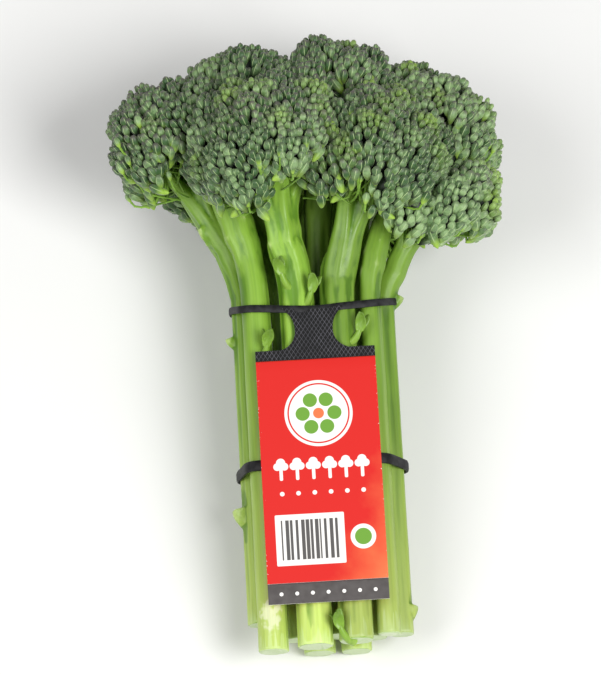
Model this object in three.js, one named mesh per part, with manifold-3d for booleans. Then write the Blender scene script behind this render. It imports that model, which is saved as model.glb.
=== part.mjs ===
// A retail bunch of broccolini, lying on a table with its tag facing up.
// Eleven shoots, each a fluted stalk under a domed flower head, are tied by a rubber band near the
// cut ends and by the elastic loop of a card tag below the heads. Small leaves grow on some stalks.
//
// The bunch is laid out in its own frame, in millimetres: x to the right, y along the stalks from
// the cut ends to the heads, z out of the tag's face. It is then tipped to lie on the table.

import * as THREE from "three";
import { mergeVertices } from "three/addons/utils/BufferGeometryUtils.js";
import Module from "manifold-3d";

const wasm = await Module();
wasm.setup();

// Driving dimensions
const GAP = 0.4; // between neighbouring pieces
const LIE_TILT_DEG = 11; // the crown is thicker than the tied stalks, so the heads lie raised
const LOWER_BAND_Y = 55.4;
const UPPER_BAND_Y = 105.5;
const PARTING_Y = 107.5; // above this the stalks part towards their heads
const LOWER_BAND = { width: 3.2, thickness: 1.0 };
const UPPER_BAND = { width: 2.3, thickness: 0.9 };
const STALK = { sides: 12, straightRings: 4, bendRings: 6, fluteDepth: 0.07, flare: 1.12 };
const HEAD = { sides: 16, domePoints: 7, neckPoints: 3, flatten: 0.82, scallop: 0.05, scallops: 5 };
const TAG = { width: 37, x: -0.9, backBottomY: 10.2, frontBottomY: 16.4, topY: 86.9, leaf: 0.4 };
const HEADER = { barTopY: 90.6, overlapY: 80, waist: 11.8, waistY: 97, top: 18.6, thickness: 0.8 };
const LEAF = { length: 8, radius: 1.7, flatten: 0.45, sides: 8, lift: 28 };

// Each shoot: where its stalk stands among the tied stalks (x, z), its radius, the height of its cut
// end, the fork where the stalk breaks into branches, and the middle and radius of its head.
const SHOOTS = [
  {
    name: "left_front", tied: [-18.8, 4.3], radius: 5.4, cutY: -2.7,
    fork: [-27, 143.9, 4], head: [-20, 173.5, -6], crown: 21,
  },
  {
    name: "centre_left", tied: [-5.7, 5.6], radius: 5.8, cutY: -2,
    fork: [-10.7, 132, 9.5], head: [-13, 154.5, 20], crown: 23,
  },
  {
    name: "centre_right", tied: [7, 5.2], radius: 5.7, cutY: -0.9,
    fork: [10, 126.1, 8.5], head: [23, 151.5, 18], crown: 20.5,
  },
  {
    name: "right_front", tied: [17, 3], radius: 4.0, cutY: 1.1,
    fork: [22.5, 131.8, 3.5], head: [44, 161, -2], crown: 18,
  },
  {
    name: "left_outer", tied: [-22, -5.9], radius: 4.6, cutY: 8,
    fork: [-31, 137.5, -7], head: [-43, 165.5, 2], crown: 19,
  },
  {
    name: "left_inner", tied: [-10.3, -5.4], radius: 5.0, cutY: 2.5,
    fork: [-17, 138, -13.5], head: [-34, 167, -19], crown: 18,
  },
  {
    name: "middle", tied: [1.2, -4.9], radius: 5.1, cutY: 2.9,
    fork: [3, 148.8, -3], head: [11, 174.4, -2], crown: 21.5,
  },
  {
    name: "right_inner", tied: [12.2, -5.3], radius: 4.6, cutY: 1.9,
    fork: [18, 143.2, -9], head: [31, 172.5, -16], crown: 19,
  },
  {
    name: "right_outer", tied: [21.2, -4.6], radius: 4.1, cutY: 2.3,
    fork: [28.5, 122.7, -3], head: [43, 137.5, 8], crown: 17,
  },
  {
    name: "back_left", tied: [-4.7, -15.1], radius: 5.1, cutY: 0,
    fork: [-6.5, 132, -21], head: [-14, 157, -33.5], crown: 20.5,
  },
  {
    name: "back_right", tied: [6.9, -15.1], radius: 5.1, cutY: 0,
    fork: [10, 130, -19.5], head: [18, 154, -32.5], crown: 20.5,
  },
];

// Small leaves: the stalk that bears each one, its height and its direction round the stalk in degrees.
const LEAVES = [
  { name: "leaf_beside_header", stalk: "left_front", y: 91, turn: 66 },
  { name: "leaf_under_left_head", stalk: "centre_left", y: 113.5, turn: 122 },
  { name: "leaf_centre", stalk: "centre_left", y: 107.5, turn: 54 },
  { name: "leaf_right_of_header", stalk: "centre_right", y: 94.5, turn: 38 },
  { name: "leaf_at_cut_end", stalk: "centre_right", y: 0.8, turn: 128 },
];

const COLOURS = { stalk: 0x86b23f, head: 0x48684a, leaf: 0x7fae3c, elastic: 0x1d1d20, card: 0xd8281f };

const vector = (xyz) => new THREE.Vector3(...xyz);
const material = (color, roughness) => new THREE.MeshStandardMaterial({ color, roughness, metalness: 0 });

// Solids for joining and cutting
function solidOf(geometry) {
  const bare = new THREE.BufferGeometry();
  bare.setAttribute("position", geometry.getAttribute("position"));
  bare.setIndex(geometry.index);
  const merged = mergeVertices(bare, 1e-4);
  return new wasm.Manifold(
    new wasm.Mesh({
      numProp: 3,
      vertProperties: merged.getAttribute("position").array,
      triVerts: new Uint32Array(merged.index.array),
    }),
  );
}

function geometryOf(solid) {
  const { vertProperties, triVerts } = solid.getMesh();
  return new THREE.BufferGeometry()
    .setAttribute("position", new THREE.BufferAttribute(vertProperties, 3))
    .setIndex(new THREE.BufferAttribute(triVerts, 1));
}

// A cut can leave crumbs beside the piece, which are dropped.
function largestOf(solid) {
  return solid.decompose().reduce((best, part) => (part.volume() > best.volume() ? part : best));
}

// Keeps what lies on the normal's side of a plane through a point.
function keepBeyond(solid, normal, point) {
  return solid.trimByPlane(normal.toArray(), normal.dot(point));
}

// Stalks
// The line of a stalk: straight through both bands, then bending away to the fork.
function stalkLine({ tied: [x, z], cutY, fork }) {
  const cut = new THREE.Vector3(x, cutY, z);
  const parting = new THREE.Vector3(x, PARTING_Y, z);
  const bend = new THREE.Vector3(x, (PARTING_Y + fork[1]) / 2, z);
  return [new THREE.LineCurve3(cut, parting), new THREE.QuadraticBezierCurve3(parting, bend, vector(fork))];
}

// A cylinder bent along the stalk's line. Every other side is drawn in, which flutes the stalk.
// A clearance makes it wider and longer all over, for the room that the heads leave round it.
function stalkGeometry(shoot, clearance = 0) {
  const [straight, bend] = stalkLine(shoot);
  const rings = STALK.straightRings + STALK.bendRings;
  const geometry = new THREE.CylinderGeometry(1, 1, 1, STALK.sides, rings);
  const places = geometry.getAttribute("position");
  const place = new THREE.Vector3();
  for (let i = 0; i < places.count; i++) {
    place.fromBufferAttribute(places, i);
    const bendRing = Math.round((place.y + 0.5) * rings) - STALK.straightRings;
    const onBend = Math.max(0, bendRing / STALK.bendRings);
    const line = bendRing > 0 ? bend : straight;
    const along = bendRing > 0 ? onBend : 1 + bendRing / STALK.straightRings;
    const side = Math.round((Math.atan2(place.x, place.z) / (2 * Math.PI)) * STALK.sides);
    const flute = side % 2 ? 1 - STALK.fluteDepth : 1;
    const reach = shoot.radius * flute * THREE.MathUtils.lerp(1, STALK.flare, onBend ** 3) + clearance;
    const ahead = line.getTangent(along);
    const across = new THREE.Vector3(1, 0, 0).addScaledVector(ahead, -ahead.x).normalize();
    const outward = new THREE.Vector3().crossVectors(across, ahead);
    const centre = line.getPoint(along).addScaledVector(ahead, onBend === 1 ? clearance : 0);
    centre.addScaledVector(across, place.x * reach).addScaledVector(outward, place.z * reach);
    places.setXYZ(i, centre.x, centre.y, centre.z);
  }
  return geometry;
}

// Heads
// The outline from the fork, out under the branches, round the dome of buds to its top.
function headProfile(neckRadius, middle, radius) {
  const rimAngle = -0.35;
  const height = radius * HEAD.flatten;
  const rim = new THREE.Vector2(radius * Math.cos(rimAngle), middle + height * Math.sin(rimAngle));
  const neck = new THREE.QuadraticBezierCurve(
    new THREE.Vector2(neckRadius, 0),
    new THREE.Vector2(neckRadius * 1.25, middle * 0.45),
    rim,
  );
  const dome = new THREE.EllipseCurve(0, middle, radius, height, rimAngle, Math.PI / 2);
  const domePoints = dome.getPoints(HEAD.domePoints).slice(1, -1);
  const top = new THREE.Vector2(0, middle + height);
  return [new THREE.Vector2(0, 0), ...neck.getPoints(HEAD.neckPoints), ...domePoints, top];
}

function headGeometry(shoot) {
  const fork = vector(shoot.fork);
  const axis = vector(shoot.head).sub(fork);
  const middle = axis.length() - GAP;
  axis.normalize();
  const neckRadius = shoot.radius * STALK.flare;
  const geometry = new THREE.LatheGeometry(headProfile(neckRadius, middle, shoot.crown), HEAD.sides);
  const places = geometry.getAttribute("position");
  for (let i = 0; i < places.count; i++) {
    const turn = Math.atan2(places.getX(i), places.getZ(i));
    const rise = THREE.MathUtils.clamp(places.getY(i) / middle, 0, 1);
    const lobe = 1 - HEAD.scallop * rise * (1 - Math.cos(HEAD.scallops * turn));
    places.setXYZ(i, places.getX(i) * lobe, places.getY(i), places.getZ(i) * lobe);
  }
  const upright = new THREE.Quaternion().setFromUnitVectors(new THREE.Vector3(0, 1, 0), axis);
  geometry.applyQuaternion(upright);
  const foot = fork.addScaledVector(axis, GAP);
  return geometry.translate(foot.x, foot.y, foot.z);
}

// Where two heads press together they flatten against the plane in which their domes meet.
function pressApart(solid, shoot, other) {
  const away = vector(shoot.head).sub(vector(other.head));
  const distance = away.length();
  if (distance > shoot.crown + other.crown + GAP) return solid;
  away.normalize();
  const share = (distance ** 2 + other.crown ** 2 - shoot.crown ** 2) / (2 * distance);
  const meeting = vector(other.head).addScaledVector(away, share + GAP / 2);
  return keepBeyond(solid, away, meeting);
}

// The table: a plane under the two back stalks' cut ends, tipped against the bunch.
const lieTilt = THREE.MathUtils.degToRad(LIE_TILT_DEG);
const tableNormal = new THREE.Vector3(0, Math.sin(lieTilt), Math.cos(lieTilt));
const tableHeights = SHOOTS.map((shoot) => shoot.tied[1] - shoot.radius + shoot.cutY * Math.tan(lieTilt));
const tablePoint = new THREE.Vector3(0, 0, Math.min(...tableHeights));

function headSolid(shoot, stalkClearances) {
  let solid = solidOf(headGeometry(shoot));
  for (const other of SHOOTS) if (other !== shoot) solid = pressApart(solid, shoot, other);
  for (const room of stalkClearances) solid = solid.subtract(room);
  return largestOf(keepBeyond(solid, tableNormal, tablePoint));
}

// Bands
function convexHull(points) {
  const sorted = [...points].sort((a, b) => a.x - b.x || a.y - b.y);
  const turnsRight = (a, b, c) => (b.x - a.x) * (c.y - a.y) - (b.y - a.y) * (c.x - a.x) <= 0;
  const half = (list) => {
    const chain = [];
    for (const point of list) {
      while (chain.length > 1 && turnsRight(chain.at(-2), chain.at(-1), point)) chain.pop();
      chain.push(point);
    }
    return chain.slice(0, -1);
  };
  return [...half(sorted), ...half(sorted.reverse())];
}

// The line a band takes round the tied stalks, at a distance outside them.
function roundTheStalks(distance) {
  const points = SHOOTS.flatMap(({ tied: [x, z], radius }) =>
    new THREE.EllipseCurve(x, -z, radius + distance, radius + distance).getPoints(16),
  );
  return convexHull(points);
}

// The shape is drawn in x and -z, so a quarter turn about x stands its thickness along the stalks.
function bandGeometry({ width, thickness }) {
  const shape = new THREE.Shape(roundTheStalks(GAP + thickness));
  shape.holes.push(new THREE.Path(roundTheStalks(GAP)));
  const geometry = new THREE.ExtrudeGeometry(shape, { depth: width, bevelEnabled: false });
  return geometry.translate(0, 0, -width / 2).rotateX(-Math.PI / 2);
}

const frontOfStalks = Math.max(...SHOOTS.map(({ tied, radius }) => tied[1] + radius)) + GAP;

// The tag's elastic film: a bar behind the card's top edge, a waisted neck and two horns on the loop.
function headerOutline() {
  const half = TAG.width / 2;
  const { barTopY, overlapY, waist, waistY, top } = HEADER;
  const outline = new THREE.Shape();
  outline.moveTo(-half, overlapY);
  outline.lineTo(half, overlapY);
  outline.lineTo(half, barTopY);
  outline.lineTo(waist, barTopY);
  outline.quadraticCurveTo(waist / 2, barTopY, waist / 2, waistY);
  outline.quadraticCurveTo(waist / 2, UPPER_BAND_Y, top / 2, UPPER_BAND_Y);
  outline.lineTo(-top / 2, UPPER_BAND_Y);
  outline.quadraticCurveTo(-waist / 2, UPPER_BAND_Y, -waist / 2, waistY);
  outline.quadraticCurveTo(-waist / 2, barTopY, -waist, barTopY);
  outline.lineTo(-half, barTopY);
  outline.closePath();
  return outline;
}

function elasticLoopGeometry() {
  const depth = HEADER.thickness;
  const film = new THREE.ExtrudeGeometry(headerOutline(), { depth, bevelEnabled: false, curveSegments: 6 });
  film.translate(TAG.x, 0, frontOfStalks + (UPPER_BAND.thickness - depth) / 2);
  const loop = bandGeometry(UPPER_BAND).translate(0, UPPER_BAND_Y, 0);
  return geometryOf(solidOf(loop).add(solidOf(film)));
}

// Tag
// One card folded at its top edge, drawn from its side in y and z. The front leaf is the shorter one.
function foldedCardGeometry() {
  const { width, backBottomY, frontBottomY, topY, leaf } = TAG;
  const foldInside = GAP / 2;
  const foldOutside = foldInside + leaf;
  const foldY = topY - foldOutside;
  const side = new THREE.Shape();
  side.moveTo(backBottomY, -foldOutside);
  side.lineTo(foldY, -foldOutside);
  side.absarc(foldY, 0, foldOutside, -Math.PI / 2, Math.PI / 2);
  side.lineTo(frontBottomY, foldOutside);
  side.lineTo(frontBottomY, foldInside);
  side.absarc(foldY, 0, foldInside, Math.PI / 2, -Math.PI / 2, true);
  side.lineTo(backBottomY, -foldInside);
  side.closePath();
  const geometry = new THREE.ExtrudeGeometry(side, { depth: width, bevelEnabled: false, curveSegments: 6 });
  const along = new THREE.Vector3(0, 1, 0);
  const out = new THREE.Vector3(0, 0, 1);
  const across = new THREE.Vector3(1, 0, 0);
  geometry.translate(0, foldOutside, -width / 2);
  return geometry.applyMatrix4(new THREE.Matrix4().makeBasis(along, out, across));
}

// Leaves
// A slim flattened spindle that stands off its stalk, leaning outwards.
function placeLeaf(mesh, leaf) {
  const shoot = SHOOTS.find(({ name }) => name === leaf.stalk);
  const turn = THREE.MathUtils.degToRad(leaf.turn);
  const outward = new THREE.Vector3(Math.cos(turn), 0, Math.sin(turn));
  const lift = THREE.MathUtils.degToRad(LEAF.lift);
  const ahead = outward.clone().multiplyScalar(Math.sin(lift)).setY(Math.cos(lift));
  const around = new THREE.Vector3().crossVectors(ahead, outward).normalize();
  const facing = new THREE.Vector3().crossVectors(around, ahead);
  const [x, z] = shoot.tied;
  mesh.position.set(x, leaf.y, z).addScaledVector(outward, shoot.radius + GAP + LEAF.radius * LEAF.flatten);
  mesh.quaternion.setFromRotationMatrix(new THREE.Matrix4().makeBasis(around, ahead, facing));
}

function leafGeometry() {
  const outline = new THREE.SplineCurve([
    new THREE.Vector2(LEAF.radius * 0.45, 0),
    new THREE.Vector2(LEAF.radius, LEAF.length * 0.45),
    new THREE.Vector2(LEAF.radius * 0.5, LEAF.length * 0.85),
    new THREE.Vector2(0, LEAF.length),
  ]);
  const tip = new THREE.Vector2(0, LEAF.length);
  const profile = [new THREE.Vector2(0, 0), ...outline.getPoints(5).slice(0, -1), tip];
  return new THREE.LatheGeometry(profile, LEAF.sides).scale(1, 1, LEAF.flatten);
}

// Assembly
const bunch = new THREE.Group();

function addPiece(name, geometry, look) {
  const mesh = new THREE.Mesh(geometry, look);
  mesh.name = name;
  bunch.add(mesh);
  return mesh;
}

const stalkRooms = SHOOTS.map((shoot) => solidOf(stalkGeometry(shoot, GAP)));
for (const shoot of SHOOTS) {
  addPiece(`stalk_${shoot.name}`, stalkGeometry(shoot), material(COLOURS.stalk, 0.45));
  addPiece(`head_${shoot.name}`, geometryOf(headSolid(shoot, stalkRooms)), material(COLOURS.head, 0.7));
}
for (const leaf of LEAVES) {
  placeLeaf(addPiece(leaf.name, leafGeometry(), material(COLOURS.leaf, 0.5)), leaf);
}

const lowerBand = addPiece("lower_rubber_band", bandGeometry(LOWER_BAND), material(COLOURS.elastic, 0.6));
lowerBand.position.y = LOWER_BAND_Y;
addPiece("tag_elastic_loop", elasticLoopGeometry(), material(COLOURS.elastic, 0.55));
const tag = addPiece("folded_card_tag", foldedCardGeometry(), material(COLOURS.card, 0.4));
tag.position.set(TAG.x, 0, frontOfStalks + LOWER_BAND.thickness + GAP);

// The bunch lies on the table, with the origin under the middle of its box.
bunch.rotation.x = lieTilt;
bunch.updateMatrixWorld(true);
const box = new THREE.Box3().setFromObject(bunch, true);
const middle = box.getCenter(new THREE.Vector3());
bunch.position.set(-middle.x, -middle.y, -box.min.z);

const part = new THREE.Group();
part.add(bunch);

export default part;
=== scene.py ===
"""Models the looks of a tied bunch of broccolini around its measured frame.

The bunch is modelled in its own frame, in metres: x to the right, y along the stalks from the cut ends
to the heads, z out of the tag's face. LAID tips that frame so that the bunch lies on the table.
"""

import functools
import math
import random
from collections import namedtuple

import bmesh
import bpy
from bpy.props import FloatProperty, FloatVectorProperty, IntProperty, PointerProperty
from mathutils import Matrix, Vector
from mathutils.bvhtree import BVHTree
from mathutils.geometry import convex_hull_2d, interpolate_bezier
from mathutils.kdtree import KDTree


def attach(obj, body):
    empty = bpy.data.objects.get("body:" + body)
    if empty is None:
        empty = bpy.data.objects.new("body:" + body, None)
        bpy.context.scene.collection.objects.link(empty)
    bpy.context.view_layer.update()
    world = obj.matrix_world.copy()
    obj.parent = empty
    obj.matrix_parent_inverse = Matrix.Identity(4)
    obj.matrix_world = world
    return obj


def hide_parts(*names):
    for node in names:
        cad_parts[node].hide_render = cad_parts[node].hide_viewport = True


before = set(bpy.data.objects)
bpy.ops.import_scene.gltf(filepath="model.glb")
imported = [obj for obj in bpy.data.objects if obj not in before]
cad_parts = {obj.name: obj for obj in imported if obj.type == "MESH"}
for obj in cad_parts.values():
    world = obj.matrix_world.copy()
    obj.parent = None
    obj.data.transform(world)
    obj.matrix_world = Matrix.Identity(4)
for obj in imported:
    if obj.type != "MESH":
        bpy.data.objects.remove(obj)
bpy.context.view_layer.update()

bl_info = {
    "name": "Broccolini bunch",
    "version": (1, 0, 0),
    "blender": (4, 5, 0),
    "location": "View3D > Sidebar > Broccolini",
    "description": "Models a tied bunch of broccolini around its measured frame",
    "category": "Object",
}

MM = 0.001
GOLDEN_ANGLE = math.pi * (3 - math.sqrt(5))
LAID = Matrix.Rotation(math.radians(11), 4, "X")
TO_HEADS = Vector((0, 1, 0))
SHOOTS = (
    "left_front", "centre_left", "centre_right", "right_front", "left_outer", "left_inner",
    "middle", "right_inner", "right_outer", "back_left", "back_right",
)
LEAVES = ("beside_header", "under_left_head", "centre", "right_of_header", "at_cut_end")

# How bright a stalk's skin is painted, where it isn't as usual: painted shade on the stalks in the middle of
# the bunch and behind others, painted light on the front middle one.
STALK_PAINTED_LIGHT = {
    "centre_left": 1.16, "centre_right": 0.78, "right_front": 0.8, "right_outer": 0.8, "left_front": 0.97,
    "middle": 0.5, "right_inner": 0.65, "left_inner": 0.65,
}

# Painted light and shade on each head: how much darker or more waxy a head's buds are painted than usual,
# darker on the left and over the top, paler on the right.
HEAD_PAINTED_LIGHT = {
    "left_outer": -0.6, "left_front": -0.45, "left_inner": -0.5, "centre_left": -0.4, "centre_right": -0.5,
    "middle": -0.3, "right_inner": -0.2, "back_left": -0.35, "back_right": -0.2, "right_front": 0.25,
    "right_outer": 0.45,
}

# How many main branches a stalk breaks into, where it isn't the usual number.
USUAL_BRANCHES = 5
MAIN_BRANCHES = {"centre_right": 2, "right_outer": 3}

# How thick a main branch is as a share of its stalk, by how many there are.
USUAL_GIRTH = 0.57
BRANCH_GIRTHS = {1: 0.95, 2: 0.72, 3: 0.64}

# How far a head's florets may face down, as the height of a unit arrow, where it isn't as usual.
USUAL_UNDERSIDE = -0.6
UNDERSIDE = {
    "left_outer": -0.05, "left_inner": 0.0, "left_front": -0.22, "right_outer": 0.0, "back_left": 0.0,
    "back_right": -0.1,
}

# Florets that hang in front of the stalks: the head, and where their tips are from its fork, in mm.
HANGING = (("right_front", (9, 5, 9)), ("right_front", (17, -1, 8)))
HANGING_AIM = Vector((0.2, -0.3, 0.9)).normalized()

# Where leaves and side shoots were trimmed off: the stalk, the height above its cut end, the direction
# round it in degrees, and the length and radius of the stub that is left.
STUBS = (
    ("left_outer", 92 * MM, 172, 2.6 * MM, 1.5 * MM),
    ("left_outer", 37 * MM, 168, 3.4 * MM, 2.8 * MM),
    ("left_outer", 128 * MM, 150, 1.6 * MM, 1.6 * MM),
    ("right_outer", 108 * MM, 8, 3.0 * MM, 1.6 * MM),
    ("right_outer", 9 * MM, 14, 1.8 * MM, 2.2 * MM),
    ("back_left", 70 * MM, 250, 2.0 * MM, 1.8 * MM),
    ("back_right", 95 * MM, 290, 2.2 * MM, 1.6 * MM),
)

# Where leaves were torn off: the stalk, the height above its cut end, the direction round it in degrees,
# and the radius of the scar.
SCARS = (
    ("left_front", 11 * MM, 92, 7.5 * MM),
    ("centre_right", 33 * MM, 75, 2.0 * MM),
    ("back_left", 42 * MM, 262, 3.5 * MM),
)


def linear(hex_colour):
    """An sRGB hex colour as linear red, green and blue."""
    shares = [int(hex_colour[i:i + 2], 16) / 255 for i in (0, 2, 4)]
    return [s / 12.92 if s <= 0.04045 else ((s + 0.055) / 1.055) ** 2.4 for s in shares]


def colour(name, hex_colour, description):
    """A colour that a user can change."""
    return FloatVectorProperty(
        name=name, description=description, default=linear(hex_colour), subtype="COLOR", min=0, max=1
    )


def length(name, metres, description):
    """A length that a user can change."""
    return FloatProperty(name=name, description=description, default=metres, unit="LENGTH", precision=5)


def angle(name, degrees, description):
    """An angle that a user can change."""
    return FloatProperty(name=name, description=description, default=math.radians(degrees), subtype="ANGLE")


class StalkSettings(bpy.types.PropertyGroup):
    """Sizes and colours of the stalks and their branches."""

    flute: FloatProperty(
        name="Flutes", description="How far a stalk shows the ribs that run down it",
        default=1.0, subtype="FACTOR",
    )
    rib_count: IntProperty(name="Ribs", description="How many ribs run down a stalk", default=7)
    voxel: length("Skin grain", 0.5 * MM, "Voxel size when a stalk and its branches are fused")
    branch_tip: length("Branch tip radius", 1.25 * MM, "Radius of a branch where it meets its floret")
    skin: colour("Skin", "8CB441", "Green of a stalk's middle")
    pale: colour("Pale end", "BDD26A", "Green near the cut end")
    # Streaks have this darker green of their own; in the grooves and towards the heads it is painted shade.
    shade: colour("Grooves", "4C7A16", "Darker green of streaks and grooves")
    # The pale ridges are partly the skin's own pale lines and partly a painted highlight.
    rib: colour("Ridges", "C6DC8C", "Pale green of the ridges")
    pith: colour("Cut face", "D3E0B8", "Flesh of a cut end")
    scar: colour("Scars", "E6EAC4", "Dry pale tissue where a leaf was torn off")


class HeadSettings(bpy.types.PropertyGroup):
    """Sizes and colours of the flower heads."""

    seed: IntProperty(name="Seed", description="Start of the random growth", default=7)
    floret_spacing: length("Floret spacing", 10.0 * MM, "Distance between neighbouring florets")
    floret_radius: length("Floret radius", 7.6 * MM, "Radius of a floret's dome of buds")
    old_bud: length("Outer bud width", 2.9 * MM, "Width of the oldest buds, round a floret's edge")
    young_bud: length("Inner bud width", 1.7 * MM, "Width of the youngest buds, in a floret's middle")
    bud: colour("Bud", "395A30", "Blue-green of a closed bud")
    bud_light: colour("Waxy bud", "94B37A", "Pale bloom on a bud")
    bud_painted_shade: colour("Bud foot", "1A2716", "Dark foot of a bud that stands deep in the head")
    bud_tip: colour("Bud tip", "645B5B", "Purple grey at a bud's tip")
    bud_base: colour("Rim bud foot", "98BC46", "Yellow green where a bud at the rim meets its stem")
    # Painted shade: the dark green on the feet of buds deep in the head and on the flesh between them.
    bud_seam: colour("Bud seam", "B6CC90", "Pale edge of a sepal")
    flesh: colour("Branchlets", "86B03E", "Green of the fine branches inside a head")


class BandSettings(bpy.types.PropertyGroup):
    """Sizes and colours of the rubber band and the tag's elastic loop."""

    band_width: length("Band width", 3.2 * MM, "Width of the lower rubber band")
    band_thickness: length("Band thickness", 1.1 * MM, "Thickness of the lower rubber band")
    loop_width: length("Loop width", 2.3 * MM, "Width of the tag's elastic loop")
    loop_thickness: length("Loop thickness", 0.8 * MM, "Thickness of the tag's elastic loop")
    loop_dip: length("Loop dip", 2.0 * MM, "How far the tag pulls the loop down at the header")
    loop_rise: length("Loop rise", 3.2 * MM, "How much higher the loop lies at the sides than in front")
    bar_width: length("Bar width", 37 * MM, "Width of the film's bar at the card")
    bar_height: length("Bar height", 3.7 * MM, "Height of the film's bar above the card")
    waist: length("Waist", 11.8 * MM, "Width of the film's waist")
    film_thickness: length("Film thickness", 0.6 * MM, "Thickness of the header film")
    rubber: colour("Rubber", "0B0B0C", "Black of the rubber band")
    film: colour("Film", "0C0C0E", "Black of the header film")
    # The lattice grey is a painted highlight on the film's raised lines; the rubber's bloom also leans
    # towards it.
    lattice: colour("Lattice", "8C8C94", "Raised lines of the header film")


class TagSettings(bpy.types.PropertyGroup):
    """Sizes and colours of the folded card tag."""

    card: length("Card thickness", 0.36 * MM, "Thickness of the folded card")
    leaf_step: length("Leaf step", 6.2 * MM, "How far the back leaf reaches below the front leaf")
    curl: length("Curl", 0.8 * MM, "How far the front leaf's lower corner stands off")
    red: colour("Red", "D8231D", "Main colour of the print")
    orange: colour("Orange", "F07848", "Colour that the print fades to")
    white: colour("White", "F7F5F0", "White parts of the print, and the bare card")
    strip: colour("Strip", "4B4645", "Dark strip at the back leaf's lower edge")
    ink: colour("Ink", "262223", "Dark lines of the print")
    green: colour("Green", "6FA23A", "Green of the printed discs")


class StageSettings(bpy.types.PropertyGroup):
    """The table, the light and the camera."""

    table: colour("Table", "F4F4F2", "Plain pale table top")
    camera_distance: length("Camera distance", 1600 * MM, "From the middle of the bunch to the camera")
    camera_elevation: angle("Camera elevation", 64, "Angle above the table")
    camera_roll: angle("Camera roll", -3.2, "Turn of the picture")
    view_height: length("View height", 209 * MM, "Height of the picture at the middle of the bunch")


SETTINGS = {
    "broccolini_stalks": StalkSettings,
    "broccolini_heads": HeadSettings,
    "broccolini_bands": BandSettings,
    "broccolini_tag": TagSettings,
    "broccolini_stage": StageSettings,
}


# Sums

def ease(low, high, value):
    """A smooth step from 0 at low to 1 at high."""
    share = min(max((value - low) / (high - low), 0), 1)
    return share * share * (3 - 2 * share)


def mix(start, end, share):
    """The value a share of the way from start to end."""
    return start + (end - start) * share


def mean(points):
    """The middle of some points."""
    return sum(points, Vector()) / len(points)


def turned_from(axis, polar, turn):
    """The direction at an angle to an axis and a turn round it."""
    across = axis.orthogonal().normalized()
    side = across * math.cos(turn) + axis.cross(across) * math.sin(turn)
    return axis * math.cos(polar) + side * math.sin(polar)


def spread_over_cap(axis, cap, count, start):
    """Directions spread by the golden angle over a unit ball's cap of that height."""
    return [
        turned_from(axis, math.acos(1 - cap * (k + 0.5) / count), k * GOLDEN_ANGLE + start)
        for k in range(count)
    ]


def distances_along(path, before=0.0):
    """How far each point of a path is along it, counted on from a distance before its start."""
    walked = [before]
    for start, end in zip(path, path[1:]):
        walked.append(walked[-1] + (end - start).length)
    return walked


def frames_along(path):
    """Directions ahead, across and outward at each point of a path, carried along without twisting."""
    across = Vector((1, 0, 0))
    frames = []
    for i in range(len(path)):
        ahead = (path[min(i + 1, len(path) - 1)] - path[max(i - 1, 0)]).normalized()
        across = (across - ahead * across.dot(ahead)).normalized()
        frames.append((ahead, across, across.cross(ahead)))
    return frames


def point_tree(points):
    """A search tree over some points."""
    tree = KDTree(len(points))
    for i, point in enumerate(points):
        tree.insert(point, i)
    tree.balance()
    return tree


# Frame measurements

Shoot = namedtuple("Shoot", "name line radii fork ahead")
Head = namedtuple("Head", "tree centre reach")
Floret = namedtuple("Floret", "shoot tip centre axis radius hub youth sunny grow")


class Branch(namedtuple("Branch", "path side start end")):
    """A branch's path, the side of the stalk a main branch leaves from, and its radius at both ends."""

    def reach(self, share):
        """The radius at a share of the way along."""
        return self.start + (self.end - self.start) * ease(0.3 if self.side else 0, 1, share)


def bunch_copy(node):
    """A merged copy of a CAD node, turned back into the bunch's own frame."""
    solid = bmesh.new()
    solid.from_mesh(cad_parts[node].data)
    bmesh.ops.remove_doubles(solid, verts=solid.verts, dist=0.01 * MM)
    bmesh.ops.transform(solid, matrix=LAID.inverted(), verts=solid.verts)
    return solid


def bunch_box(node):
    """Lowest and highest corner of a CAD node in the bunch's own frame."""
    solid = bunch_copy(node)
    places = [v.co.copy() for v in solid.verts]
    solid.free()
    low = Vector(min(p[axis] for p in places) for axis in range(3))
    high = Vector(max(p[axis] for p in places) for axis in range(3))
    return low, high


def section(solid, height):
    """Points where a level plane cuts a solid, at a height along the stalks."""
    copy = solid.copy()
    everything = copy.verts[:] + copy.edges[:] + copy.faces[:]
    cut = bmesh.ops.bisect_plane(copy, geom=everything, plane_co=(0, height, 0), plane_no=TO_HEADS)
    points = [v.co.copy() for v in cut["geom_cut"] if isinstance(v, bmesh.types.BMVert)]
    copy.free()
    return points


@functools.cache
def measure_shoot(name, cuts=40, fork_cap=5 * MM, fork_reach=3 * MM, inset=0.02 * MM):
    """The middles and mean radii of cuts across a CAD stalk, from its cut end to its fork."""
    solid = bunch_copy("stalk_" + name)
    heights = [v.co.y for v in solid.verts]
    low = min(heights) + inset
    high = max(heights) - fork_cap
    line = []
    radii = []
    for step in range(cuts + 1):
        points = section(solid, low + (high - low) * step / cuts)
        line.append(mean(points))
        radii.append(sum((p - line[-1]).length for p in points) / len(points))
    solid.free()
    ahead = (line[-1] - line[-3]).normalized()
    fork = line[-1] + ahead * fork_reach
    return Shoot(name, line + [fork], radii + [radii[-1]], fork, ahead)


def step_at(shoot, height):
    """The step of a stalk's line that is nearest to a height along the stalks."""
    return min(range(len(shoot.line)), key=lambda i: abs(shoot.line[i].y - height))


def across_stalk(shoot, above_cut, turn):
    """A stalk's middle and radius at a height above its cut end, and a direction round it in degrees."""
    height = shoot.line[0].y + above_cut
    step = step_at(shoot, height)
    centre = Vector((shoot.line[step].x, height, shoot.line[step].z))
    outward = Vector((math.cos(math.radians(turn)), 0, math.sin(math.radians(turn))))
    return centre, shoot.radii[step], outward


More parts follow.
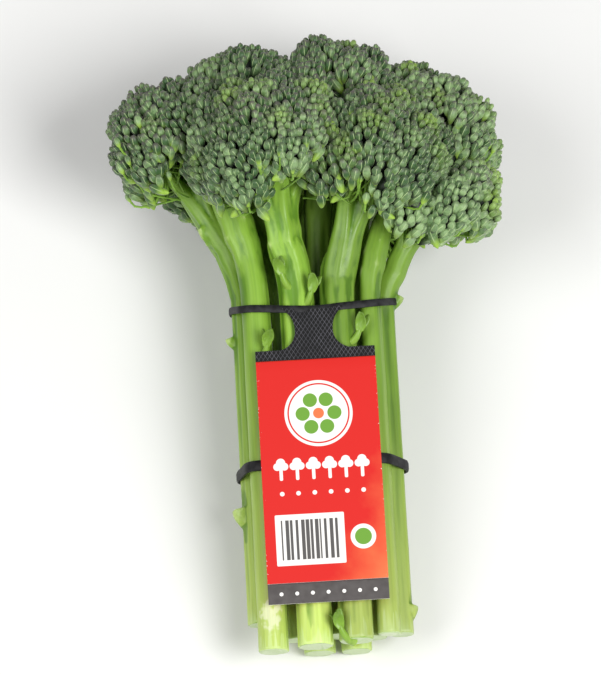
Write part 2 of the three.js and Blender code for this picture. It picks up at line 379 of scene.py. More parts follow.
@functools.cache
def measure_head(name):
    """The surface of a CAD head, the middle of that surface and its mean distance from there."""
    solid = bunch_copy("head_" + name)
    tree = BVHTree.FromBMesh(solid)
    area = sum(f.calc_area() for f in solid.faces)
    centre = sum((f.calc_center_median() * f.calc_area() for f in solid.faces), Vector()) / area
    reach = sum((f.calc_center_median() - centre).length * f.calc_area() for f in solid.faces) / area
    solid.free()
    return Head(tree, centre, reach)


def canopy_skin():
    """The surface of a skin stretched over all the CAD heads."""
    skin = bmesh.new()
    for name in SHOOTS:
        merge(skin, bunch_copy("head_" + name))
    bmesh.ops.delete(skin, geom=skin.faces[:], context="FACES_ONLY")
    bmesh.ops.convex_hull(skin, input=skin.verts)
    tree = BVHTree.FromBMesh(skin)
    skin.free()
    return tree


# Florets

def grow_floret(name, tip, aim, size, settings, rng):
    """A floret of a head, with its tip at a place and its dome facing a direction."""
    fork = measure_shoot(name).fork
    grow = ((measure_head(name).centre - fork).normalized() + TO_HEADS).normalized()
    radius = settings.floret_radius * size * rng.uniform(0.78, 1.2)
    sunny = ease(-0.2, 0.9, aim.y) * rng.uniform(0.6, 1.0)
    centre = tip - aim * radius
    hub = tip - aim * radius * 1.9
    return Floret(name, tip, centre, aim, radius, hub, rng.random(), sunny, grow)


def cover_head(florets, index, crown, canopy, settings):
    """Adds florets on the part of a CAD head that no other head covers."""
    name = SHOOTS[index]
    rng = random.Random(settings.seed + index)
    head = measure_head(name)
    others = [measure_head(other).tree for other in SHOOTS if other != name]
    fork = measure_shoot(name).fork
    heart = fork.lerp(head.centre, 0.45)
    cap = 1 - math.cos(math.radians(97))
    tries_per_floret = 8
    count = round(tries_per_floret * cap * 2 * math.pi * (head.reach / settings.floret_spacing) ** 2)
    cover_reach = 30 * MM
    groove_width = 6 * MM
    most_lift = 6 * MM
    for out in spread_over_cap((head.centre - fork).normalized(), cap, count, index):
        tip = head.tree.ray_cast(head.centre, out)[0]
        if tip is None:
            continue
        away = (tip - crown).normalized()
        if any(tree.ray_cast(tip + away * MM, away, cover_reach)[0] for tree in others):
            continue
        # Florets in a hollow between heads are drawn up towards the skin, which closes the hollow.
        gap = canopy.ray_cast(tip, away)[3] or 0.0
        groove = ease(0, groove_width, min(tree.find_nearest(tip)[3] for tree in others))
        aim = ((tip - heart).normalized() + away * mix(0.8, 0, groove)).normalized()
        lift = min(0.4 * gap, most_lift) + (mix(3.4, 2.2, groove) + rng.uniform(-2.0, 1.0)) * MM
        tip = tip + aim * lift + Vector((0, 2 * MM * ease(0.4, 0.9, aim.y), 0))
        free = all((tip - f.tip).length > settings.floret_spacing for f in florets)
        if free and aim.y > UNDERSIDE.get(name, USUAL_UNDERSIDE):
            florets.append(grow_floret(name, tip, aim, 1, settings, rng))


def fill_hollows(florets, crown, canopy, settings, rng):
    """Adds florets under the canopy's skin where no floret shows."""
    heads = {name: measure_head(name).tree for name in SHOOTS}
    trials = 1600
    cap = 0.72
    sight = 28 * MM
    deepest_head = 20 * MM
    deepest_tip = 9 * MM
    for k in range(trials):
        rise = 1 - cap * (k + 0.5) / trials
        flat = math.sqrt(1 - rise * rise)
        away = Vector((flat * math.cos(k * GOLDEN_ANGLE), rise, flat * math.sin(k * GOLDEN_ANGLE)))
        skin, facing, _, _ = canopy.ray_cast(crown, away)
        depths = {name: (tree.ray_cast(skin, -away)[3] or 1.0) for name, tree in heads.items()}
        name = min(depths, key=depths.get)
        tip = skin - away * min(0.65 * depths[name], deepest_tip)
        near = [f for f in florets if (f.centre - skin).length < sight]
        bare = all((f.centre - skin).cross(away).length > 0.8 * f.radius for f in near)
        if bare and facing.y > 0 and depths[name] < deepest_head:
            florets.append(grow_floret(name, tip, (away + facing).normalized(), 1.1, settings, rng))


def spread_florets(settings):
    """All the florets: on the CAD heads, in front of the stalks, and in the hollows between heads."""
    crown = mean([measure_shoot(name).fork for name in SHOOTS])
    canopy = canopy_skin()
    florets = []
    for index in range(len(SHOOTS)):
        cover_head(florets, index, crown, canopy, settings)
    rng = random.Random(settings.seed)
    for name, offset in HANGING:
        tip = measure_shoot(name).fork + Vector(offset) * MM
        florets.append(grow_floret(name, tip, HANGING_AIM, 1, settings, rng))
    fill_hollows(florets, crown, canopy, settings, rng)
    return florets


# Mesh helpers

def new_mesh(name, bm):
    """A mesh made from a bmesh, which is freed."""
    mesh = bpy.data.meshes.new(name)
    bm.to_mesh(mesh)
    bm.free()
    return mesh


def add_object(name, data):
    """A new object in the scene."""
    made = bpy.data.objects.new(name, data)
    bpy.context.scene.collection.objects.link(made)
    return made


def merge(bm, part):
    """Moves all of one bmesh into another."""
    mesh = new_mesh("part", part)
    bm.from_mesh(mesh)
    bpy.data.meshes.remove(mesh)


def add_tube(bm, path, reach, sides):
    """Adds a closed tube along a path. reach(step, turn) is its radius at a step and a turn."""
    rings = len(path) - 1
    frames = frames_along(path)
    tube = bmesh.new()
    bmesh.ops.create_cone(tube, cap_ends=True, segments=sides, radius1=1, radius2=1, depth=1)
    uprights = [e for e in tube.edges if abs(e.verts[0].co.z - e.verts[1].co.z) > 0.5]
    bmesh.ops.subdivide_edges(tube, edges=uprights, cuts=rings - 1, use_grid_fill=True)
    for v in tube.verts:
        step = round((v.co.z + 0.5) * rings)
        turn = math.atan2(v.co.y, v.co.x)
        _, across, outward = frames[step]
        side = across * math.cos(turn) + outward * math.sin(turn)
        v.co = path[step] + side * reach(step, turn)
    bmesh.ops.recalc_face_normals(tube, faces=tube.faces)
    # The normals of a tightly bent tube can come out all inwards.
    if tube.calc_volume(signed=True) < 0:
        bmesh.ops.reverse_faces(tube, faces=tube.faces)
    merge(bm, tube)


def evaluated(bm, *modifiers):
    """The mesh that a list of modifiers, each a kind and its settings, makes of a bmesh."""
    raw_mesh = new_mesh("raw", bm)
    # Solidify gives a face the next material only where the mesh has that many slots.
    for _ in range(3):
        raw_mesh.materials.append(None)
    raw = add_object("raw", raw_mesh)
    for kind, settings in modifiers:
        modifier = raw.modifiers.new(kind.lower(), kind)
        for name, value in settings.items():
            setattr(modifier, name, value)
    made = bpy.data.meshes.new_from_object(raw.evaluated_get(bpy.context.evaluated_depsgraph_get()))
    bpy.data.objects.remove(raw)
    bpy.data.meshes.remove(raw_mesh)
    result = bmesh.new()
    result.from_mesh(made)
    bpy.data.meshes.remove(made)
    return result


def keep_joined(bm, start):
    """Deletes everything that isn't joined to a vertex."""
    joined = {start}
    rim = [start]
    while rim:
        for edge in rim.pop().link_edges:
            for v in edge.verts:
                if v not in joined:
                    joined.add(v)
                    rim.append(v)
    bmesh.ops.delete(bm, geom=[v for v in bm.verts if v not in joined], context="VERTS")


def finish_piece(name, bm, materials, node):
    """Lays a bunch-frame bmesh on the table as a piece that stands for a CAD node."""
    crease = math.radians(50)
    bmesh.ops.transform(bm, matrix=LAID, verts=bm.verts)
    for v in bm.verts:
        v.co.z = max(v.co.z, 0)
    for f in bm.faces:
        f.smooth = True
    for e in bm.edges:
        e.smooth = e.calc_face_angle(0) < crease
    mesh = new_mesh(name, bm)
    for material in materials:
        mesh.materials.append(material)
    piece = add_object(name, mesh)
    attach(piece, "root")
    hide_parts(node)


# Materials

def set_inputs(tree, node, inputs):
    """Sets a node's inputs, or links them to a socket or to another node's first enabled output."""
    for key, value in inputs.items():
        socket = node.inputs[key]
        if isinstance(value, bpy.types.Node):
            value = next(output for output in value.outputs if output.enabled)
        if isinstance(value, bpy.types.NodeSocket):
            tree.links.new(value, socket)
        else:
            socket.default_value = (*value, 1) if socket.type == "RGBA" and len(value) == 3 else value


def add_node(tree, kind, inputs=None, stops=(), **settings):
    """Adds a node with its settings, its inputs and its colour stops."""
    node = tree.nodes.new("ShaderNode" + kind)
    for name, value in settings.items():
        setattr(node, name, value)
    set_inputs(tree, node, inputs or {})
    if stops:
        elements = node.color_ramp.elements
        while len(elements) < len(stops):
            elements.new(0.5)
        for element, (position, shade) in zip(elements, stops):
            element.position = position
            element.color = (*shade, 1)
    return node


def new_material(name):
    """A node material with a principled shader, its node tree and that shader."""
    material = bpy.data.materials.new(name)
    material.use_nodes = True
    return material, material.node_tree, material.node_tree.nodes["Principled BSDF"]


def grey(value):
    """A grey of that brightness."""
    return (value, value, value)


def stalk_skin(settings):
    """Living stalk skin: waxy, streaked along its length, pale at the cut end; painted shade in its grooves
    and towards the heads; pale ridges with a painted highlight.
    """
    material, tree, shader = new_material("broccolini stalk skin")
    grain = add_node(tree, "Attribute", attribute_name="grain").outputs["Vector"]
    place = add_node(tree, "Attribute", attribute_name="place").outputs["Vector"]
    ridge = add_node(tree, "Attribute", attribute_name="ridge").outputs["Fac"]
    scar = add_node(tree, "Attribute", attribute_name="scar").outputs["Fac"]
    along, _, tone_and_painted_light = add_node(tree, "SeparateXYZ", {0: place}).outputs
    per_mm = add_node(tree, "VectorMath", {0: grain, "Scale": 1 / MM}, operation="SCALE")

    # Streaks are 3 mm wide and fibres 0.6 mm, both many times as long. Tears are 2 mm across.
    patterns = []
    for width, run, detail in ((3.0, 45, 2), (0.6, 20, 2), (2.0, 2.0, 1)):
        scale = (1 / width, 1 / run, 1 / width)
        stretched = add_node(tree, "VectorMath", {0: per_mm, 1: scale}, operation="MULTIPLY")
        patterns.append(add_node(tree, "TexNoise", {"Vector": stretched, "Scale": 1, "Detail": detail}))
    streaks, fibres, tears = patterns
    # Glossier and duller patches are 9 mm across.
    patches = add_node(tree, "TexNoise", {"Vector": per_mm, "Scale": 1 / 9})

    # Paler towards the cut end, and darker towards the heads as painted shade under them.
    skin = add_node(tree, "ValToRGB", {0: along}, stops=(
        (0.0, settings.pale), (0.22, mix(settings.pale, settings.skin, 0.5)),
        (0.5, settings.skin), (1.0, mix(settings.skin, settings.shade, 0.3)),
    ))
    torn = add_node(tree, "Math", {0: tears, 1: scar}, operation="MULTIPLY")
    # Each layer: its pattern, the range over which it comes in, how much it covers, and its colour.
    layers = (
        (streaks, 0.45, 0.75, 0.4, settings.shade),
        # The groove layer is painted shade; the ridge layer is the skin's pale lines with a painted
        # highlight.
        (ridge, 0.06, -0.14, 0.72, settings.shade),
        (ridge, 0.22, 0.42, 0.7, settings.rib),
        (torn, 0.14, 0.3, 0.7, settings.scar),
    )
    for pattern, start, full, cover, shade in layers:
        share = add_node(
            tree, "MapRange", {"Value": pattern, "From Min": start, "From Max": full, "To Max": cover},
            interpolation_type="SMOOTHSTEP",
        )
        skin = add_node(tree, "Mix", {0: share, 6: skin, 7: shade}, data_type="RGBA")
    fibre_share = add_node(
        tree, "MapRange", {"Value": fibres, "From Min": 0.3, "From Max": 0.7, "To Min": 0.94, "To Max": 1.06}
    )
    brightness = add_node(tree, "Math", {0: fibre_share, 1: tone_and_painted_light}, operation="MULTIPLY")
    height = add_node(tree, "Math", {0: fibres, 1: 0.3, 2: streaks}, operation="MULTIPLY_ADD")
    set_inputs(tree, shader, {
        "Base Color": add_node(tree, "HueSaturation", {"Value": brightness, "Color": skin}),
        "Roughness": add_node(tree, "MapRange", {"Value": patches, "To Min": 0.28, "To Max": 0.5}),
        "Normal": add_node(tree, "Bump", {"Strength": 0.3, "Distance": 0.3 * MM, "Height": height}),
        "IOR": 1.42,
        "Subsurface Weight": 0.1,
        "Subsurface Radius": (0.8, 1.0, 0.3),
        "Subsurface Scale": 1.5 * MM,
    })
    return material


def stalk_pith(settings):
    """Fresh cut stalk: wet pale pith, a ring of fibre ends, and a thin green rim of skin."""
    material, tree, shader = new_material("broccolini cut pith")
    grain = add_node(tree, "Attribute", attribute_name="grain").outputs["Vector"]
    place = add_node(tree, "Attribute", attribute_name="place").outputs["Vector"]
    from_middle = add_node(tree, "SeparateXYZ", {0: place}).outputs["Y"]
    # Fibre ends are about 0.7 mm apart.
    dots = add_node(tree, "TexVoronoi", {"Vector": grain, "Scale": 1 / (0.7 * MM)})
    fibre = add_node(tree, "ValToRGB", {0: dots}, stops=((0.0, grey(0.75)), (0.5, grey(1))))
    rings = add_node(tree, "ValToRGB", {0: from_middle}, stops=(
        (0.0, settings.pith), (0.62, settings.pith), (0.74, mix(settings.pith, settings.skin, 0.45)),
        (0.86, mix(settings.pith, settings.skin, 0.25)), (0.97, settings.skin),
    ))
    flesh = add_node(
        tree, "Mix", {0: 0.6, 6: rings, 7: fibre}, data_type="RGBA", blend_type="MULTIPLY"
    )
    set_inputs(tree, shader, {
        "Base Color": flesh,
        "Normal": add_node(tree, "Bump", {"Strength": 0.4, "Distance": 0.1 * MM, "Height": dots}),
        "Roughness": 0.35,
    })
    return material


def bud_skin(settings):
    """Closed flower bud: four waxy sepals with pale edges, a purple-grey tip, a yellowish foot at the rim
    and painted shade on the foot deep in the head.
    """
    material, tree, shader = new_material("broccolini bud skin")
    shape = add_node(tree, "UVMap", uv_map="BudShape")
    turn, up, _ = add_node(tree, "SeparateXYZ", {0: shape}).outputs
    look = add_node(tree, "Attribute", attribute_name="look")
    tone_and_painted_light, fresh, sunny = add_node(tree, "SeparateColor", {0: look}).outputs
    at_rim = look.outputs["Alpha"]

    # Mottling is about 0.8 mm across.
    spot = add_node(tree, "TexCoord").outputs["Object"]
    mottle = add_node(tree, "TexNoise", {"Vector": spot, "Scale": 1 / (0.8 * MM), "Detail": 2})
    seam_wave = add_node(tree, "Math", {0: turn, 1: 4 * math.pi}, operation="MULTIPLY")
    seam_side = add_node(tree, "Math", {0: seam_wave}, operation="SINE")
    seam_near = add_node(tree, "Math", {0: seam_side}, operation="ABSOLUTE")
    wax = add_node(tree, "Math", {0: mottle, 1: 0.7, 2: tone_and_painted_light}, operation="MULTIPLY_ADD")
    # A bud's foot is yellow green at the rim and painted shade deep in the head.
    foot = add_node(tree, "Mix", {0: at_rim, 6: settings.bud_painted_shade, 7: settings.bud_base}, data_type="RGBA")
    # Each share: its pattern, and the range over which it comes in.
    ranges = {
        "waxy": (wax, 0.35, 1.45),
        "foot": (up, 0.66, 0.12),
        "tip": (up, 0.66, 0.98),
        "seam": (seam_near, 0.26, 0.0),
        "seam_reach": (up, 0.2, 0.6),
    }
    shares = {}
    for name, (pattern, start, full) in ranges.items():
        shares[name] = add_node(
            tree, "MapRange", {"Value": pattern, "From Min": start, "From Max": full},
            interpolation_type="SMOOTHSTEP",
        )
    purple = add_node(tree, "Math", {0: shares["tip"], 1: sunny}, operation="MULTIPLY")
    seam = add_node(tree, "Math", {0: shares["seam"], 1: shares["seam_reach"]}, operation="MULTIPLY")
    layers = (
        (shares["waxy"], settings.bud_light),
        (shares["foot"], foot),
        (purple, settings.bud_tip),
        (seam, settings.bud_seam),
        (fresh, settings.bud_base),
    )
    skin = settings.bud
    for share, shade in layers:
        skin = add_node(tree, "Mix", {0: share, 6: skin, 7: shade}, data_type="RGBA")
    set_inputs(tree, shader, {
        "Base Color": skin,
        "Normal": add_node(tree, "Bump", {"Strength": 0.4, "Distance": 0.15 * MM, "Height": mottle}),
        "Roughness": 0.42,
        "IOR": 1.4,
        "Sheen Weight": 0.15,
        "Sheen Roughness": 0.45,
    })
    return material


def branchlet_flesh(settings):
    """Tender branchlets inside a head: bright yellow green at the rim, and painted shade in the depth of the
    head.
    """
    material, tree, shader = new_material("broccolini branchlet flesh")
    spot = add_node(tree, "TexCoord").outputs["Object"]
    at_rim = add_node(tree, "Attribute", attribute_name="look").outputs["Alpha"]
    # Patches are about 3 mm across.
    patches = add_node(tree, "TexNoise", {"Vector": spot, "Scale": 1 / (3 * MM), "Detail": 3})
    flesh = add_node(tree, "ValToRGB", {0: patches}, stops=(
        (0.3, mix(settings.flesh, settings.bud, 0.45)), (0.7, settings.flesh),
    ))
    set_inputs(tree, shader, {
        "Base Color": add_node(tree, "Mix", {0: at_rim, 6: settings.bud_painted_shade, 7: flesh}, data_type="RGBA"),
        "Roughness": 0.5,
    })
    return material


def black_rubber(settings):
    """Black elastic rubber: extruded, slightly chalky, with a soft grey sheen."""
    material, tree, shader = new_material("black elastic rubber")
    spot = add_node(tree, "TexCoord").outputs["Object"]
    # Chalky bloom in patches of about 2 mm, over a grit of 0.25 mm.
    bloom = add_node(tree, "TexNoise", {"Vector": spot, "Scale": 1 / (2 * MM), "Detail": 4})
    grit = add_node(tree, "TexNoise", {"Vector": spot, "Scale": 1 / (0.25 * MM)})
    set_inputs(tree, shader, {
        "Base Color": add_node(tree, "ValToRGB", {0: bloom}, stops=(
            (0.35, settings.rubber), (0.8, mix(settings.rubber, settings.lattice, 0.1)),
        )),
        "Normal": add_node(tree, "Bump", {"Strength": 0.3, "Distance": 0.1 * MM, "Height": grit}),
        "Roughness": 0.55,
        "Specular IOR Level": 0.3,
    })
    return material


def lattice_film(settings):
    """Black stretch film: embossed with a fine diamond lattice whose ridges get a pale grey painted
    highlight.
    """
    material, tree, shader = new_material("embossed black film")
    flat = add_node(tree, "UVMap", uv_map="Sheet")
    x, y, _ = add_node(tree, "SeparateXYZ", {0: flat}).outputs
    # The diamonds are 1.35 mm wide and 2 mm long.
    across_turns = add_node(tree, "Math", {0: x, 1: math.pi / (1.35 * MM)}, operation="MULTIPLY")
    along_turns = add_node(tree, "Math", {0: y, 1: math.pi / (2.0 * MM)}, operation="MULTIPLY")
    lines = []
    for operation in ("ADD", "SUBTRACT"):
        slant = add_node(tree, "Math", {0: across_turns, 1: along_turns}, operation=operation)
        wave = add_node(tree, "Math", {0: slant}, operation="SINE")
        lines.append(add_node(tree, "Math", {0: wave}, operation="ABSOLUTE"))
    nearest = add_node(tree, "Math", {0: lines[0], 1: lines[1]}, operation="MINIMUM")
    ridge = add_node(
        tree, "MapRange", {"Value": nearest, "From Min": 0.26, "From Max": 0.04},
        interpolation_type="SMOOTHSTEP",
    )
    # The painted highlight on the ridges comes in patches of about 4 mm.
    spot = add_node(tree, "TexCoord").outputs["Object"]
    wear_and_glint = add_node(tree, "TexNoise", {"Vector": spot, "Scale": 1 / (4 * MM)})
    share = add_node(tree, "Math", {0: ridge, 1: wear_and_glint}, operation="MULTIPLY")
    # Pale grey on the ridges is a painted highlight.
    film = add_node(tree, "Mix", {0: share, 6: settings.film, 7: settings.lattice}, data_type="RGBA")
    set_inputs(tree, shader, {
        "Base Color": film,
        "Normal": add_node(tree, "Bump", {"Strength": 0.7, "Distance": 0.2 * MM, "Height": ridge}),
        "Roughness": 0.5,
        "Specular IOR Level": 0.3,
    })
    return material


def card_design(settings):
    """The shapes printed on the card, in mm from the middle of the front leaf's lower edge.

    Each is a box with round corners: its middle, its half width and half height up to the corners, the
    corners' radius, and its ink. A disc is all corner.
    """
    seal = 53
    petals = 4.9
    panel = 13.4
    shapes = [
        (0, seal, 0, 0, 10.5, settings.white),
        (0, seal, 0, 0, 9.6, settings.red),
        (0, seal, 0, 0, 9.1, settings.white),
        (0, seal, 0, 0, 1.7, settings.orange),
        (-4.6, panel, 10.2, 7.6, 0.4, settings.white),
        (11.6, panel, 0, 0, 3.9, settings.white),
        (11.6, panel, 0, 0, 2.6, settings.green),
    ]
    for k in range(6):
        turn = k * math.pi / 3
        across = 5 * k - 12.5
        shapes.append((petals * math.cos(turn), seal + petals * math.sin(turn), 0, 0, 2.2, settings.green))
        # A sprig of three lobes on a stem, with a dot below it.
        for lobe, rise, radius in ((-1.1, 36.6, 1.2), (0, 37.8, 1.4), (1.1, 36.6, 1.2)):
            shapes.append((across + lobe, rise, 0, 0, radius, settings.white))
        shapes.append((across, 34.4, 0.1, 1.8, 0.4, settings.white))
        shapes.append((across, 28, 0, 0, 0.7, settings.white))
    rng = random.Random(3)
    bar = -13.4
    last_bar = 4.2
    while bar < last_bar:
        half = rng.choice((0.18, 0.36, 0.5))
        shapes.append((bar + half, panel, half, 6.2, 0.05, settings.ink))
        bar += 2 * half + rng.choice((0.4, 0.7, 1.0))
    return shapes


def printed_card(settings):
    """Coated card: glossy red print that fades to orange, with a plain white design and worn edges."""
    material, tree, shader = new_material("printed coated card")
    flat = add_node(tree, "UVMap", uv_map="Sheet")
    per_mm = add_node(tree, "VectorMath", {0: flat, "Scale": 1 / MM}, operation="SCALE")

    # The ground: red with clouds of 12 mm, orange towards the lower right.
    clouds = add_node(tree, "TexNoise", {"Vector": per_mm, "Scale": 1 / 12, "Detail": 5})
    slope = add_node(tree, "VectorMath", {0: per_mm, 1: (0.03, -0.016, 0)}, operation="DOT_PRODUCT")
    glow = add_node(tree, "Math", {0: clouds, 1: 0.8, 2: slope}, operation="MULTIPLY_ADD")
    print_colour = add_node(tree, "ValToRGB", {0: glow}, stops=(
        (0.0, settings.red), (0.35, settings.red), (1.0, settings.orange),
    ))
    blur = 0.08
    for x, y, half_width, half_height, corner, ink in card_design(settings):
        offset = add_node(tree, "VectorMath", {0: per_mm, 1: (x, y, 0)}, operation="SUBTRACT")
        aside = add_node(tree, "VectorMath", {0: offset}, operation="ABSOLUTE")
        box = (half_width, half_height, 0)
        past = add_node(tree, "VectorMath", {0: aside, 1: box}, operation="SUBTRACT")
        outside = add_node(tree, "VectorMath", {0: past, 1: (0, 0, 0)}, operation="MAXIMUM")
        distance = add_node(tree, "VectorMath", {0: outside}, operation="LENGTH")
        share = add_node(
            tree, "MapRange", {"Value": distance, "From Min": corner + blur, "From Max": corner - blur},
            interpolation_type="SMOOTHSTEP",
        )
        print_colour = add_node(tree, "Mix", {0: share, 6: print_colour, 7: ink}, data_type="RGBA")

    # White flecks of 0.5 mm where the print has worn off along the card's edges.
    flecks = add_node(tree, "TexNoise", {"Vector": per_mm, "Scale": 1 / 0.5, "Detail": 2})
    across = add_node(tree, "SeparateXYZ", {0: per_mm}).outputs["X"]
    from_middle = add_node(tree, "Math", {0: across}, operation="ABSOLUTE")
    edge = add_node(
        tree, "MapRange", {"Value": from_middle, "From Min": 16.8, "From Max": 18.5, "To Max": 0.2}
    )
    wear_and_glint = add_node(tree, "Math", {0: flecks, 1: edge}, operation="ADD")
    worn = add_node(tree, "Math", {0: wear_and_glint, 1: 0.86}, operation="GREATER_THAN")
    set_inputs(tree, shader, {
        "Base Color": add_node(tree, "Mix", {0: worn, 6: print_colour, 7: settings.white}, data_type="RGBA"),
        "Roughness": 0.3,
        "Coat Weight": 0.25,
        "Coat Roughness": 0.2,
    })
    return material


def bare_card(settings):
    """Uncoated edge of the card: off-white, with short paper fibres."""
    material, tree, shader = new_material("bare card")
    spot = add_node(tree, "TexCoord").outputs["Object"]
    # Paper fibres clump at about 0.6 mm.
    fibres = add_node(tree, "TexNoise", {"Vector": spot, "Scale": 1 / (0.6 * MM), "Detail": 4})
    set_inputs(tree, shader, {
        "Base Color": add_node(tree, "ValToRGB", {0: fibres}, stops=(
            (0.3, mix(settings.white, settings.strip, 0.12)), (0.7, settings.white),
        )),
        "Roughness": 0.75,
    })
    return material


def strip_card(settings, card_length):
    """Inside of the card: bare white, with a dark printed strip and pale dots along the back leaf's edge."""
    material, tree, shader = new_material("card inside with printed strip")
    flat = add_node(tree, "UVMap", uv_map="Sheet")
    per_mm = add_node(tree, "VectorMath", {0: flat, "Scale": 1 / MM}, operation="SCALE")
    x, y, _ = add_node(tree, "SeparateXYZ", {0: per_mm}).outputs
    seen = settings.leaf_step / MM
    hidden = 2
    from_edge = add_node(tree, "Math", {0: card_length / MM, 1: y}, operation="SUBTRACT")
    strip = add_node(tree, "Math", {0: from_edge, 1: seen + hidden}, operation="LESS_THAN")
    # Scuffs are about 3 mm across.
    scuffs = add_node(tree, "TexNoise", {"Vector": per_mm, "Scale": 1 / 3, "Detail": 4})
    dark = add_node(tree, "ValToRGB", {0: scuffs}, stops=(
        (0.35, settings.strip), (0.9, mix(settings.strip, settings.white, 0.06)),
    ))
    # Dots of 0.6 mm radius stand 4.8 mm apart along the middle of the strip that is seen.
    from_dot = add_node(tree, "Math", {0: x, 1: 4.8 / 2}, operation="PINGPONG")
    from_row = add_node(tree, "Math", {0: from_edge, 1: 0.5 * seen}, operation="SUBTRACT")
    offset = add_node(tree, "CombineXYZ", {"X": from_dot, "Y": from_row})
    distance = add_node(tree, "VectorMath", {0: offset}, operation="LENGTH")
    dot = add_node(tree, "Math", {0: distance, 1: 0.6}, operation="LESS_THAN")
    dotted = add_node(tree, "Mix", {0: dot, 6: dark, 7: settings.white}, data_type="RGBA")
    set_inputs(tree, shader, {
        "Base Color": add_node(tree, "Mix", {0: strip, 6: settings.white, 7: dotted}, data_type="RGBA"),
        "Roughness": 0.4,
    })
    return material


def table_paint(settings):
    """Matt white table top."""
    material, tree, shader = new_material("matt white table")
    spot = add_node(tree, "TexCoord").outputs["Object"]
    # Faint cloudiness about 80 mm across.
    clouds = add_node(tree, "TexNoise", {"Vector": spot, "Scale": 1 / (80 * MM)})
    set_inputs(tree, shader, {
        "Base Color": add_node(tree, "ValToRGB", {0: clouds}, stops=(
            (0.2, mix(Vector(settings.table), Vector(grey(0.8)), 0.15)), (0.8, settings.table),
        )),
        "Roughness": 0.8,
    })
    return material


# Stalks

def branch_paths(shoot, florets, main_count, tip_radius):
    """Main branches that leave the stalk as ridges, and a twig from them to each floret's hub."""
    across = Vector((1, 0, 0)) if main_count == 2 else shoot.ahead.orthogonal().normalized()
    across = (across - shoot.ahead * across.dot(shoot.ahead)).normalized()
    outward = across.cross(shoot.ahead)
    groups = {}
    for floret in florets:
        reach = floret.hub - shoot.fork
        turn = math.atan2(reach.dot(outward), reach.dot(across)) + math.pi / 2
        groups.setdefault(int(turn / (2 * math.pi) * main_count) % main_count, []).append(floret)
    thick = shoot.radii[-1]
    girth = BRANCH_GIRTHS.get(len(groups), USUAL_GIRTH)
    ridge_steps = 8
    bezier_points = 8
    paths = []
    for members in groups.values():
        middle = mean([f.hub for f in members])
        side = middle - shoot.fork
        side = (side - shoot.ahead * side.dot(shoot.ahead)).normalized()
        offset = side * thick * (1 - girth)
        start = shoot.line[-1 - ridge_steps:-1]
        rib = [point + offset * mix(0.6, 1, k / (ridge_steps - 1)) for k, point in enumerate(start)]
        leave = shoot.fork + shoot.ahead * 5 * MM + offset * 1.2
        knee = (shoot.fork + side * thick * 0.7).lerp(middle, 0.62)
        bend = leave.lerp(knee, 0.5) + shoot.ahead * 2 * MM
        curve = rib + interpolate_bezier(shoot.fork + offset, leave, bend, knee, bezier_points)
        paths.append(Branch(curve, side, thick * girth, thick * 0.45))
        for floret in members:
            inside = floret.hub + floret.axis * floret.radius * 0.5
            bend = floret.hub - floret.axis * floret.radius * 0.3
            twig = interpolate_bezier(curve[-3], knee, knee.lerp(bend, 0.7), inside, bezier_points)
            paths.append(Branch(twig, None, thick * 0.32, tip_radius))
    return paths


def rib_turns(sides, count):
    """Directions of a stalk's ribs: its main branches, and more in the widest gaps between them."""
    turns = sorted(sides)
    while len(turns) < count:
        gaps = [(turns[i + 1 - len(turns)] - turn) % (2 * math.pi) for i, turn in enumerate(turns)]
        widest = max(range(len(gaps)), key=gaps.__getitem__)
        turns.insert(widest + 1, turns[widest] + gaps[widest] / 2)
    return turns


